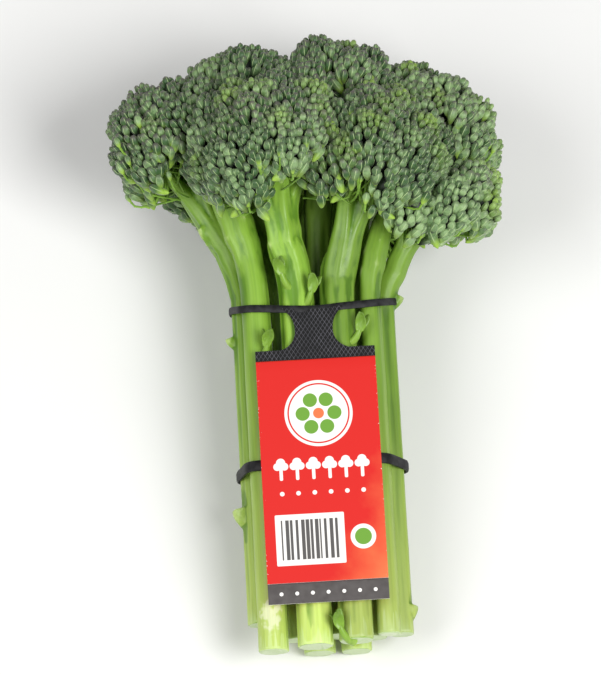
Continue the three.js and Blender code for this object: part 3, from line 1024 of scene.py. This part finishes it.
class BROCCOLINI_OT_stalks(bpy.types.Operator):
    """Models each stalk with the branches that carry its head"""

    bl_idname = "broccolini.stalks"
    bl_label = "Stalks"

    def execute(self, context):
        settings = context.scene.broccolini_stalks
        florets = spread_florets(context.scene.broccolini_heads)
        looks = [stalk_skin(settings), stalk_pith(settings)]
        for index, name in enumerate(SHOOTS):
            own = [f for f in florets if f.shoot == name]
            self.model(settings, random.Random(40 + index), measure_shoot(name), own, looks)
        return {"FINISHED"}

    def model(self, settings, rng, shoot, florets, looks):
        """One stalk with its branches, fused into one skin."""
        main_count = MAIN_BRANCHES.get(shoot.name, USUAL_BRANCHES)
        branches = branch_paths(shoot, florets, main_count, settings.branch_tip)
        bm = bmesh.new()
        add_tube(bm, shoot.line, self.fluted(shoot, branches, settings, rng), 40)
        for branch in branches:
            add_tube(bm, branch.path, self.tapering(branch, settings), 24 if branch.side else 10)
        self.add_stubs(bm, shoot)
        bm = evaluated(
            bm,
            ("REMESH", {"mode": "VOXEL", "voxel_size": settings.voxel}),
            ("SMOOTH", {"factor": 0.5, "iterations": 3}),
            ("DECIMATE", {"ratio": 0.35}),
        )
        # Pockets inside the fused tubes leave small loose shells.
        keep_joined(bm, min(bm.verts, key=lambda v: v.co.y))
        self.record_ridges(bm)
        self.record_grain(bm, shoot, branches, rng)
        self.record_scars(bm, shoot)
        self.mark_cut(bm, shoot)
        finish_piece("shoot_" + shoot.name, bm, looks, "stalk_" + shoot.name)

    def fluted(self, shoot, branches, settings, rng):
        """A function for a stalk's radius. Its ribs are strips of cylinders, shallow at the cut end."""
        _, across, outward = frames_along(shoot.line)[-1]
        sides = [math.atan2(b.side.dot(outward), b.side.dot(across)) for b in branches if b.side is not None]
        turns = rib_turns(sides, settings.rib_count)
        wobble = rng.uniform(0, 2 * math.pi)
        last = len(shoot.line) - 1
        rib_offset = 0.64
        rib_radius = 0.36
        groove_floor = 0.8

        def reach(step, turn):
            lobes = []
            for rib_turn in turns:
                sideways = rib_offset * math.sin(turn - rib_turn)
                outwards = math.sqrt(max(rib_radius ** 2 - sideways ** 2, 0))
                lobes.append(rib_offset * math.cos(turn - rib_turn) + outwards)
            ribbed = max(max(lobes), groove_floor)
            share = mix(1, ribbed, settings.flute * mix(0.6, 1.1, step / last))
            broad = 1.02 + 0.03 * math.cos(2 * turn + wobble + step * 0.05)
            return shoot.radii[step] * share * broad * (1 - 0.5 * ease(last - 3, last, step))

        return reach

    def tapering(self, branch, settings):
        """A function for a branch's radius. A main branch starts slim in its stalk and has five ribs."""
        steps = len(branch.path) - 1
        slim = 1 if branch.side is None else 0.75
        groove = 0 if branch.side is None else 0.2 * settings.flute

        def reach(step, turn):
            ribbed = 1 + groove * (abs(math.cos(5 / 2 * turn)) - 0.8)
            return branch.reach(step / steps) * mix(slim, 1, ease(0, 5, step)) * ribbed

        return reach

    def add_stubs(self, bm, shoot):
        """Short cut ends of leaves and side shoots that were trimmed off."""
        points = 6
        for name, above_cut, turn, stub_length, radius in STUBS:
            if name != shoot.name:
                continue
            centre, stalk_radius, outward = across_stalk(shoot, above_cut, turn)
            end = centre + outward * (stalk_radius + stub_length - radius)
            rise = Vector((0, radius, 0))
            foot = end - rise * 3.5 - outward * (stub_length + radius * 0.5)
            path = interpolate_bezier(foot, foot + rise * 1.5, end - rise * 1.5, end, points)
            add_tube(bm, path, lambda step, _: radius * mix(0.7, 1.0, step / (points - 1)), 12)

    def record_ridges(self, bm):
        """Stores how far in mm each vertex stands out of a smoothed skin."""
        soft = evaluated(bm.copy(), ("SMOOTH", {"factor": 0.5, "iterations": 30}))
        soft.verts.ensure_lookup_table()
        bm.normal_update()
        ridge = bm.verts.layers.float.new("ridge")
        for i, v in enumerate(bm.verts):
            v[ridge] = (v.co - soft.verts[i].co).dot(v.normal) / MM
        soft.free()

    def record_grain(self, bm, shoot, branches, rng):
        """Stores each vertex's place along and round its stalk or branch, for the skin's pattern."""
        grain = bm.verts.layers.float_vector.new("grain")
        place = bm.verts.layers.float_vector.new("place")
        start = shoot.line[0]
        pattern_length = 1.3 * (shoot.fork - start).length
        lines = [(shoot.line, shoot.radii)]
        for branch in branches:
            steps = len(branch.path) - 1
            lines.append((branch.path, [branch.reach(k / steps) for k in range(steps + 1)]))
        marks = []
        for path, radii in lines:
            walked = distances_along(path, (path[0] - start).length)
            marks += zip(path, frames_along(path), walked, radii)
        tree = point_tree([mark[0] for mark in marks])
        # The stalk's painted light and shade, with a little random tone.
        tone_and_painted_light = STALK_PAINTED_LIGHT.get(shoot.name, 1.0) * rng.uniform(0.97, 1.03)
        for v in bm.verts:
            centre, (ahead, across, outward), walked, radius = marks[tree.find(v.co)[1]]
            offset = v.co - centre
            along = walked + offset.dot(ahead)
            x = offset.dot(across)
            z = offset.dot(outward)
            v[grain] = (x, along, z)
            v[place] = (along / pattern_length, math.hypot(x, z) / radius, tone_and_painted_light)

    def record_scars(self, bm, shoot):
        """Stores how deep each vertex lies in the scar of a torn-off leaf."""
        scar = bm.verts.layers.float.new("scar")
        for name, above_cut, turn, radius in SCARS:
            if name != shoot.name:
                continue
            centre, stalk_radius, outward = across_stalk(shoot, above_cut, turn)
            spot = centre + outward * stalk_radius
            for v in bm.verts:
                v[scar] = max(v[scar], 1 - (v.co - spot).length / radius)

    def mark_cut(self, bm, shoot):
        """Gives the cut end the look of pith."""
        cut = shoot.line[0].y + 0.5 * MM
        for f in bm.faces:
            if f.calc_center_median().y < cut and f.normal.y < -0.6:
                f.material_index = 1


# Heads

class Stamp:
    """A small shape that is copied many times into a piece, each copy with look values of its own."""

    def __init__(self, name, bm):
        for f in bm.faces:
            f.smooth = True
        self.mesh = new_mesh(name, bm)
        self.count = len(self.mesh.vertices)
        self.places = [0.0] * (3 * self.count)
        self.mesh.vertices.foreach_get("co", self.places)
        self.mesh.attributes.new("look", "FLOAT_COLOR", "POINT")

    def add(self, bm, matrix, look):
        """Copies the shape into a bmesh, unless it would lie under the table."""
        foot = LAID @ matrix @ Vector((0, 0, 0))
        tip = LAID @ matrix @ Vector((0, 0, 1))
        if max(foot.z, tip.z) < 0:
            return
        self.mesh.vertices.foreach_set("co", self.places)
        self.mesh.transform(matrix)
        self.mesh.attributes["look"].data.foreach_set("color", list(look) * self.count)
        bm.from_mesh(self.mesh)


def map_round(bm, name):
    """Maps a round shape by its turn about z and its height, without a seam inside any face."""
    sheet = bm.loops.layers.uv.new(name)
    for f in bm.faces:
        turns = {v: math.atan2(v.co.y, v.co.x) / (2 * math.pi) % 1 for v in f.verts if v.co.xy.length > 1e-4}
        first = next(iter(turns.values()))
        turns = {v: turn + round(first - turn) for v, turn in turns.items()}
        middle = sum(turns.values()) / len(turns)
        for loop in f.loops:
            loop[sheet].uv = (turns.get(loop.vert, middle), loop.vert.co.z)


def bud_stamp(name, sides, rings):
    """A bud one unit wide and long, from its foot at the origin to its tip on z."""
    bm = bmesh.new()
    lift = Matrix.Translation((0, 0, 0.5))
    bmesh.ops.create_uvsphere(bm, u_segments=sides, v_segments=rings, radius=0.5, matrix=lift)
    map_round(bm, "BudShape")
    for v in bm.verts:
        # An egg that is widest above its middle, pinched between four sepals and drawn in at its foot.
        girth = 0.66 + 0.4 * ease(0.05, 0.62, v.co.z)
        lobe = 1 + 0.05 * math.cos(4 * math.atan2(v.co.y, v.co.x)) * ease(0.2, 0.9, v.co.z)
        v.co.xy *= girth * lobe
    return Stamp(name, bm)


def flesh_stamp(name, bm):
    """A stamp of branchlet flesh, with the same map as the buds."""
    bm.loops.layers.uv.new("BudShape")
    for f in bm.faces:
        f.material_index = 1
    return Stamp(name, bm)


def stem_stamp():
    """A bud's stem one unit long on z, thickest where it meets the bud."""
    bm = bmesh.new()
    lift = Matrix.Translation((0, 0, 0.5))
    bmesh.ops.create_cone(bm, cap_ends=True, segments=5, radius1=0.38, radius2=0.5, depth=1, matrix=lift)
    return flesh_stamp("stem", bm)


def cushion_stamp():
    """The flesh under the buds of a floret of radius one, drawn in to its hub."""
    bm = bmesh.new()
    bmesh.ops.create_uvsphere(bm, u_segments=8, v_segments=6, radius=0.68)
    for v in bm.verts:
        polar = v.co.angle(Vector((0, 0, 1)))
        v.co = v.co.lerp(Vector((0, 0, -0.9)), ease(math.radians(55), math.pi, polar))
    return flesh_stamp("cushion", bm)


def aimed(foot, axis, width, depth, turn=0.0):
    """Places a stamp: its foot, the direction of its z axis, and its width and length."""
    turned = axis.to_track_quat("Z", "Y").to_matrix().to_4x4() @ Matrix.Rotation(turn, 4, "Z")
    return Matrix.Translation(foot) @ turned @ Matrix.Diagonal((width, width, depth, 1))


class BROCCOLINI_OT_heads(bpy.types.Operator):
    """Models each flower head as florets covered with buds"""

    bl_idname = "broccolini.heads"
    bl_label = "Flower heads"

    def execute(self, context):
        settings = context.scene.broccolini_heads
        florets = spread_florets(settings)
        near = point_tree([f.centre for f in florets])
        neighbour_reach = 26 * MM
        looks = [bud_skin(settings), branchlet_flesh(settings)]
        self.old = bud_stamp("old_bud", 8, 5)
        self.young = bud_stamp("young_bud", 6, 4)
        self.stem = stem_stamp()
        self.cushion = cushion_stamp()
        for index, name in enumerate(SHOOTS):
            rng = random.Random(100 + settings.seed + index)
            bm = bmesh.new()
            own = [f for f in florets if f.shoot == name]
            for floret in own:
                found = [florets[i] for _, i, _ in near.find_range(floret.centre, neighbour_reach)]
                self.add_floret(bm, floret, [f for f in found if f is not floret], settings, rng)
            self.add_sprays(bm, measure_shoot(name), own, settings, rng)
            finish_piece("florets_" + name, bm, looks, "head_" + name)
        return {"FINISHED"}

    def add_floret(self, bm, floret, others, settings, rng):
        """Covers one floret with clusters of buds, young ones in the middle and old ones round the edge."""
        cluster_radius = 3.4 * MM
        sunk = 0.9 * MM
        old_width = 2.2 * MM
        stem_width = 0.85 * MM
        edge = math.radians(rng.uniform(86, 100))
        fringe = edge + math.radians(26)
        clusters = self.clusters(floret, edge, rng)
        source = floret.centre.lerp(floret.hub, 0.55)
        # A floret's random tone, shifted by its head's painted light and shade.
        floret_tone_and_painted_light = rng.random() + HEAD_PAINTED_LIGHT.get(floret.shoot, 0)
        youngest = mix(settings.young_bud, settings.old_bud, 0.5 * (1 - floret.youth))
        spread = 0.0
        k = 0
        while spread < 1 - math.cos(fringe):
            polar = math.acos(1 - spread)
            age = polar / edge
            out = turned_from(floret.axis, polar, k * GOLDEN_ANGLE + rng.uniform(-0.15, 0.15))
            middle = max(clusters, key=out.dot)
            off = out.angle(middle, 0) * floret.radius / cluster_radius
            grown = ease(0.1, 0.9, 0.7 * age + 0.3 * off)
            width = mix(youngest, settings.old_bud, grown) * rng.uniform(0.84, 1.16)
            spread += 1.06 * width ** 2 / (2 * math.pi * floret.radius ** 2)
            k += 1
            stray = age > 1
            if stray and rng.random() < 0.45:
                continue
            reach = rng.uniform(1.0, 1.2) if stray else 1.05 - 0.17 * off ** 2 + rng.uniform(-0.07, 0.05)
            tip = floret.centre + out * floret.radius * reach
            if any((tip - other.centre).length < other.radius - sunk for other in others):
                continue
            jitter = Vector((rng.uniform(-1, 1), rng.uniform(-1, 1), rng.uniform(-1, 1))) * 0.16
            lean = floret.grow * mix(0.75, 1.35, age)
            axis = ((tip - source).normalized() + (out - middle) + lean + jitter).normalized()
            depth = width * mix(1.5, 2.0, min(age, 1)) * rng.uniform(0.9, 1.15)
            foot = tip - axis * depth
            # How far a bud's foot and stem show their own yellow green; where they don't, they get painted
            # shade.
            rim = max(ease(0.7, 1.0, age), ease(0.5, 1.2, off) * rng.uniform(0.2, 0.8))
            fresh = max(0.0, floret.youth - 0.55) * max(0.0, 1 - 1.5 * age) * rng.uniform(0.6, 2.2)
            tone_and_painted_light = mix(floret_tone_and_painted_light, rng.random(), 0.6)
            look = (tone_and_painted_light, min(fresh, 0.9), floret.sunny, rim)
            stamp = self.old if width > old_width else self.young
            stamp.add(bm, aimed(foot, axis, width, depth, rng.uniform(0, 6)), look)
            if age > 0.35 or off > 0.8:
                root = floret.hub.lerp(floret.centre, 0.55 * max(1 - age, 0))
                run = foot + axis * depth * 0.12 - root
                self.stem.add(bm, aimed(root, run.normalized(), stem_width, run.length), look)
        # The cushion has no rim share, so it is painted all in the buds' painted shade.
        self.cushion.add(bm, aimed(floret.centre, floret.axis, floret.radius, floret.radius), (0.5, 0, 0, 0))

    def clusters(self, floret, edge, rng):
        """Directions of the clusters of buds on a floret."""
        spacing = 5.6 * MM
        cap = 1 - math.cos(edge)
        count = max(round(2 * math.pi * cap * (floret.radius / spacing) ** 2), 3)
        return spread_over_cap(floret.axis, cap, count, rng.uniform(0, 6))

    def add_sprays(self, bm, shoot, florets, settings, rng):
        """Hangs loose buds on long curved stems below the rim of a head."""
        stem_width = 0.8 * MM
        lowest = sorted(florets, key=lambda f: f.axis.y)[:9]
        for floret in lowest * 3:
            polar = math.radians(rng.uniform(85, 125))
            out = turned_from(floret.axis, polar, rng.uniform(0, 2 * math.pi))
            end = floret.centre + out * floret.radius * rng.uniform(1.05, 1.4)
            start = shoot.fork.lerp(floret.hub, rng.uniform(0.5, 0.8))
            low = start.lerp(end, 0.6) - Vector((0, rng.uniform(1, 3) * MM, 0))
            path = interpolate_bezier(start, low, end - floret.grow * 3 * MM, end, 6)
            look = (rng.random(), 0, 0.3, 1)
            for near, far in zip(path, path[1:]):
                run = far - near
                self.stem.add(bm, aimed(near, run.normalized(), stem_width, run.length * 1.1), look)
            width = settings.old_bud * rng.uniform(0.6, 0.95)
            axis = (path[-1] - path[-2]).normalized() + floret.grow * 0.4
            self.old.add(bm, aimed(end, axis.normalized(), width, width * 1.8, rng.uniform(0, 6)), look)


# Leaves

class BROCCOLINI_OT_leaves(bpy.types.Operator):
    """Models the small leaves that grow on the stalks"""

    bl_idname = "broccolini.leaves"
    bl_label = "Small leaves"

    def execute(self, context):
        look = stalk_skin(context.scene.broccolini_stalks)
        look.name = "broccolini leaf skin"
        for index, name in enumerate(LEAVES):
            self.model(name, look, random.Random(60 + index))
        return {"FINISHED"}

    def model(self, name, look, rng):
        """A short side shoot with three curled blades where a CAD leaf stands."""
        node = "leaf_" + name
        solid = bunch_copy(node)
        points = sorted((v.co.copy() for v in solid.verts), key=lambda p: p.y)
        solid.free()
        foot = mean(points[:6])
        run = points[-1] - foot
        ahead = run.normalized()
        stand = ahead.to_track_quat("Z", "Y").to_matrix().to_4x4()
        blades = bmesh.new()
        # Each blade: its turn round the shoot, and its length and start as shares of the shoot's length.
        for turn, size, start in ((0, 0.85, 0.2), (140, 0.75, 0.25), (250, 0.62, 0.35)):
            blade = Matrix.Rotation(math.radians(turn + rng.uniform(-20, 20)), 4, "Z")
            grown_from = Matrix.Translation(foot + run * start)
            self.add_blade(blades, grown_from @ stand @ blade, run.length * size, rng)
        bm = evaluated(
            blades,
            ("SOLIDIFY", {"thickness": 0.4 * MM, "offset": 0.0}),
            ("SUBSURF", {"levels": 1, "render_levels": 1}),
        )
        lines = [point for shoot in map(measure_shoot, SHOOTS) for point in shoot.line]
        nearest = min(lines, key=lambda point: (point - foot).length)
        root = foot.lerp(nearest, 0.75) - Vector((0, 3 * MM, 0))
        stem = interpolate_bezier(root, foot - run * 0.2, foot, foot + run * 0.45, 6)
        thick = run.length * 0.15
        add_tube(bm, stem, lambda step, _: thick * mix(1.3, 0.6, step / 5), 10)
        grain = bm.verts.layers.float_vector.new("grain")
        place = bm.verts.layers.float_vector.new("place")
        for v in bm.verts:
            offset = v.co - foot
            v[grain] = offset
            share = offset.dot(ahead) / run.length
            v[place] = (0.5 + 0.3 * share, 1.0, mix(0.95, 0.65, ease(0.3, 1.0, share)))
        finish_piece("tuft_" + name, bm, [look], node)

    def add_blade(self, bm, matrix, size, rng):
        """One blade: narrow, pointed, cupped along its midrib and curled outwards."""
        made = bmesh.ops.create_grid(bm, x_segments=4, y_segments=8, size=0.5)
        bend = rng.uniform(0.15, 0.6)
        lean = rng.uniform(-0.2, 0.2)
        for v in made["verts"]:
            up = v.co.y + 0.5
            across = v.co.x * 2
            half = size * (0.06 + 0.2 * math.sin(math.pi * (0.1 + 0.88 * up)) ** 0.8)
            wave = 0.04 * size * math.sin(9 * up + 3 * across)
            rise = up * (1 - 0.35 * bend * up)
            out = bend * up * up * 0.6 + 0.09 * across ** 2 + 0.06
            sway = lean * up * up
            v.co = matrix @ Vector((across * half + sway * size, out * size + wave, rise * size))


# Bands and tag

def even_loop(points, count):
    """The closed loop through some points, as evenly spaced points."""
    ring = points + points[:1]
    walked = distances_along(ring)
    loop = []
    side = 0
    for k in range(count):
        target = walked[-1] * k / count
        while walked[side + 1] < target:
            side += 1
        share = (target - walked[side]) / (walked[side + 1] - walked[side])
        loop.append(ring[side].lerp(ring[side + 1], share))
    return loop


def stretched_round(height, clearance, count=150):
    """A loop stretched round all the stalks at a height, at a distance outside them."""
    sides = 24
    points = []
    for shoot in map(measure_shoot, SHOOTS):
        step = step_at(shoot, height)
        centre = shoot.line[step].xz
        for k in range(sides):
            turn = 2 * math.pi * k / sides
            side = Vector((math.cos(turn), math.sin(turn)))
            points.append(centre + side * (shoot.radii[step] + clearance))
    hull = [points[i] for i in convex_hull_2d(points)]
    return even_loop([Vector((p.x, height, p.y)) for p in hull], count)


def add_band(bm, loop, thickness, width, sides=12):
    """A ring of rounded strip round a loop of points."""
    count = len(loop)
    middle = mean(loop)
    bmesh.ops.create_grid(bm, x_segments=count, y_segments=sides, size=0.5)
    for v in bm.verts:
        i = round((v.co.x + 0.5) * count) % count
        turn = 2 * math.pi * (v.co.y + 0.5)
        # A circle stretched into a bar with rounded corners.
        across = math.cos(turn) / max(abs(math.cos(turn)), abs(math.sin(turn)) ** 0.4 * 0.9)
        along = math.sin(turn) / max(abs(math.sin(turn)), abs(math.cos(turn)) ** 0.4 * 0.9)
        ahead = (loop[(i + 1) % count] - loop[i - 1]).normalized()
        outward = TO_HEADS.cross(ahead).normalized()
        if outward.dot(loop[i] - middle) < 0:
            outward.negate()
        v.co = loop[i] + outward * across * thickness / 2 + Vector((0, along * width / 2, 0))
    bmesh.ops.remove_doubles(bm, verts=bm.verts, dist=0.001 * MM)
    bmesh.ops.recalc_face_normals(bm, faces=bm.faces)


class BROCCOLINI_OT_lower_band(bpy.types.Operator):
    """Models the rubber band near the cut ends"""

    bl_idname = "broccolini.lower_band"
    bl_label = "Lower rubber band"

    def execute(self, context):
        settings = context.scene.broccolini_bands
        low, high = bunch_box("lower_rubber_band")
        loop = stretched_round((low.y + high.y) / 2, settings.band_thickness / 2)
        # The band wavers a little as it goes across.
        waver = 0.5 * MM
        across_per_radian = 9 * MM
        for point in loop:
            point.y += waver * math.sin(point.x / across_per_radian)
        bm = bmesh.new()
        add_band(bm, loop, settings.band_thickness, settings.band_width)
        finish_piece("rubber_band", bm, [black_rubber(settings)], "lower_rubber_band")
        return {"FINISHED"}


class BROCCOLINI_OT_elastic_loop(bpy.types.Operator):
    """Models the tag's elastic loop with its header film"""

    bl_idname = "broccolini.elastic_loop"
    bl_label = "Elastic loop and header film"

    def execute(self, context):
        settings = context.scene.broccolini_bands
        _, high = bunch_box("tag_elastic_loop")
        tag_low, tag_high = bunch_box("folded_card_tag")
        height = high.y - settings.loop_width / 2
        centre = (tag_low.x + tag_high.x) / 2
        loop = stretched_round(height, settings.loop_thickness / 2)
        back = sum(point.z for point in loop) / len(loop)
        top = max(point.z for point in loop)
        risen_depth = 18 * MM
        for point in loop:
            if point.z > back:
                point.y -= self.dip(point.x - centre, settings)
            point.y += settings.loop_rise * ease(0, risen_depth, top - point.z)
        bm = bmesh.new()
        add_band(bm, loop, settings.loop_thickness, settings.loop_width)
        self.add_film(bm, centre, tag_high.y, height, top, settings)
        looks = [black_rubber(settings), lattice_film(settings)]
        finish_piece("elastic_loop", bm, looks, "tag_elastic_loop")
        return {"FINISHED"}

    def dip(self, offset, settings):
        """How far the tag pulls the loop down, at a distance to the side of the header."""
        spread = 15 * MM
        return settings.loop_dip * math.exp(-(offset / spread) ** 2)

    def half_width(self, height, tag_top, loop_height, settings):
        """Half the film's width: a waist that curves out to the bar below and to the loop above."""
        flare_height = 6.4 * MM
        bar_flare = 5.9 * MM
        loop_flare = 3.6 * MM
        waist_height = tag_top + settings.bar_height + flare_height
        if height < waist_height:
            share = (waist_height - height) / flare_height
            return settings.waist / 2 + bar_flare * (1 - math.sqrt(max(0, 1 - share * share)))
        share = (height - waist_height) / (loop_height - waist_height)
        return settings.waist / 2 + loop_flare * share ** 3

    def add_film(self, bm, centre, tag_top, loop_height, front, settings):
        """A sheet behind the card's top edge, waisted between its bar and the loop."""
        columns = 24
        rows = 40
        tucked = 6 * MM
        # Above the bar, the sheet keeps only the middle two thirds of its columns.
        kept = 2 / 3
        low = tag_top - tucked
        bar_top = tag_top + settings.bar_height
        film = bmesh.new()
        bmesh.ops.create_grid(film, x_segments=columns, y_segments=rows, size=1)
        step = (loop_height - low) / rows
        bar_row = round((bar_top - low) / step)
        trimmed = []
        for f in film.faces:
            middle = f.calc_center_median()
            if abs(middle.x) > kept and (middle.y + 1) / 2 * rows > bar_row:
                trimmed.append(f)
        bmesh.ops.delete(film, geom=trimmed, context="FACES")
        sheet = film.loops.layers.uv.new("Sheet")
        for v in film.verts:
            row = round((v.co.y + 1) / 2 * rows)
            height = low + row * step
            half = settings.bar_width / 2
            if row > bar_row or (row == bar_row and abs(v.co.x) < kept + 0.005):
                half = self.half_width(max(height, bar_top), tag_top, loop_height, settings) / kept
            offset = v.co.x * half
            rise = ease(bar_row, rows, row)
            v.co = (centre + offset, height - rise * self.dip(offset, settings), front)
        for f in film.faces:
            f.material_index = 1
            for corner in f.loops:
                corner[sheet].uv = corner.vert.co.xy
        merge(bm, evaluated(film, ("SOLIDIFY", {"thickness": settings.film_thickness, "offset": 0.0})))


class BROCCOLINI_OT_tag(bpy.types.Operator):
    """Models the card tag, folded at its top edge"""

    bl_idname = "broccolini.tag"
    bl_label = "Folded card tag"

    def execute(self, context):
        settings = context.scene.broccolini_tag
        low, high = bunch_box("folded_card_tag")
        side = self.side_view(low, high, settings)
        walked = distances_along(side)
        columns = 14
        rows = len(side) - 1
        bm = bmesh.new()
        bmesh.ops.create_grid(bm, x_segments=columns, y_segments=rows, size=1)
        sheet = bm.loops.layers.uv.new("Sheet")
        half = (high.x - low.x) / 2
        flat = {}
        for v in bm.verts:
            row = round((v.co.y + 1) / 2 * rows)
            flat[v] = (v.co.x * half, walked[-1] - walked[row])
            v.co = (v.co.x * half + (low.x + high.x) / 2, side[row].x, side[row].y)
            v.co.z += self.curl(flat[v], half, settings)
        for f in bm.faces:
            for corner in f.loops:
                corner[sheet].uv = flat[corner.vert]
        front = max(bm.faces, key=lambda f: f.calc_center_median().z)
        front.normal_update()
        if front.normal.z < 0:
            bmesh.ops.reverse_faces(bm, faces=bm.faces)
        inside_and_rim = {"material_offset": 1, "material_offset_rim": 2}
        bm = evaluated(bm, ("SOLIDIFY", {"thickness": settings.card, "offset": 0.0, **inside_and_rim}))
        looks = [printed_card(settings), strip_card(settings, walked[-1]), bare_card(settings)]
        finish_piece("card_tag", bm, looks, "folded_card_tag")
        return {"FINISHED"}

    def side_view(self, low, high, settings):
        """The card seen from its side: up the back leaf, round the fold and down the front leaf."""
        back_rows = 20
        fold_rows = 8
        front_rows = 22
        back = low.z + settings.card / 2
        front = high.z - settings.card / 2
        bend = (front - back) / 2
        fold = high.y - settings.card / 2 - bend
        points = [Vector((mix(low.y, fold, k / back_rows), back)) for k in range(back_rows)]
        for k in range(fold_rows + 1):
            turn = math.pi * (k / fold_rows - 0.5)
            points.append(Vector((fold + bend * math.cos(turn), (back + front) / 2 + bend * math.sin(turn))))
        bottom = low.y + settings.leaf_step
        points += [Vector((mix(fold, bottom, k / front_rows), front)) for k in range(1, front_rows + 1)]
        return points

    def curl(self, flat, half, settings):
        """How far the front leaf is bowed and its lower corners are lifted, at a place on the flat card."""
        across, up = flat
        front_leaf = 70 * MM
        share = min(max(1 - up / front_leaf, 0), 1)
        corner = 0.5 + 0.5 * across / half
        return settings.curl * (share ** 3 * (0.4 + 0.6 * corner) + 0.3 * math.sin(math.pi * share))


# Stage

class BROCCOLINI_OT_stage(bpy.types.Operator):
    """Sets up the table, the light and the camera"""

    bl_idname = "broccolini.stage"
    bl_label = "Table, light and camera"

    def execute(self, context):
        settings = context.scene.broccolini_stage
        self.lay_table(settings)
        self.hang_lights(context.scene)
        self.place_camera(context.scene, settings)
        return {"FINISHED"}

    def lay_table(self, settings):
        """A wide table top under the bunch."""
        half_side = 4
        bm = bmesh.new()
        bmesh.ops.create_grid(bm, x_segments=1, y_segments=1, size=half_side)
        mesh = new_mesh("table", bm)
        mesh.materials.append(table_paint(settings))
        add_object("table", mesh)

    def hang_lights(self, scene):
        """A large soft light from the left, a stronger one from the right, and pale surroundings."""
        # Each light: its name, where it hangs, its width in metres and its power in watts.
        lights = (
            ("left", (-0.62, -0.3, 0.95), 0.6, 5.6),
            ("right", (0.5, -0.5, 0.95), 0.5, 11.0),
        )
        target = Vector((0, 0.02, 0.04))
        for name, place, size, power in lights:
            lamp = bpy.data.lights.new(name, "AREA")
            lamp.size = size
            lamp.energy = power
            light = add_object(name, lamp)
            light.location = place
            light.rotation_euler = (target - Vector(place)).to_track_quat("-Z", "Y").to_euler()
        world = bpy.data.worlds.new("studio")
        world.use_nodes = True
        background = world.node_tree.nodes["Background"]
        set_inputs(world.node_tree, background, {"Color": grey(1), "Strength": 0.28})
        scene.world = world
        scene.view_settings.view_transform = "Standard"

    def place_camera(self, scene, settings):
        """Looks down on the bunch at the photographed angle to its stalks."""
        target = Vector((-5.0 * MM, -2.3 * MM, 50 * MM))
        up = settings.camera_elevation
        back = Vector((0, -math.cos(up), math.sin(up)))
        lens = bpy.data.cameras.new("camera")
        lens.lens = lens.sensor_width * settings.camera_distance / settings.view_height
        camera = add_object("camera", lens)
        facing = (-back).to_track_quat("-Z", "Y").to_matrix().to_4x4()
        roll = Matrix.Rotation(settings.camera_roll, 4, "Z")
        camera.matrix_world = Matrix.Translation(target + back * settings.camera_distance) @ facing @ roll
        scene.camera = camera


# Panel

class BROCCOLINI_PT_panel(bpy.types.Panel):
    """Lists the steps that build the bunch"""

    bl_label = "Broccolini"
    bl_idname = "BROCCOLINI_PT_panel"
    bl_space_type = "VIEW_3D"
    bl_region_type = "UI"
    bl_category = "Broccolini"

    def draw(self, context):
        for operator in OPERATORS:
            self.layout.operator(operator.bl_idname)
        for name in SETTINGS:
            group = getattr(context.scene, name)
            for key in group.__annotations__:
                self.layout.prop(group, key)


OPERATORS = (
    BROCCOLINI_OT_stalks,
    BROCCOLINI_OT_heads,
    BROCCOLINI_OT_leaves,
    BROCCOLINI_OT_lower_band,
    BROCCOLINI_OT_elastic_loop,
    BROCCOLINI_OT_tag,
    BROCCOLINI_OT_stage,
)
CLASSES = (*SETTINGS.values(), *OPERATORS, BROCCOLINI_PT_panel)


def register():
    for cls in CLASSES:
        bpy.utils.register_class(cls)
    for name, group in SETTINGS.items():
        setattr(bpy.types.Scene, name, PointerProperty(type=group))


def unregister():
    for name in SETTINGS:
        delattr(bpy.types.Scene, name)
    for cls in reversed(CLASSES):
        bpy.utils.unregister_class(cls)


def main():
    register()
    bpy.ops.broccolini.stalks()
    bpy.ops.broccolini.heads()
    bpy.ops.broccolini.leaves()
    bpy.ops.broccolini.lower_band()
    bpy.ops.broccolini.elastic_loop()
    bpy.ops.broccolini.tag()
    bpy.ops.broccolini.stage()


if __name__ == "__main__":
    main()
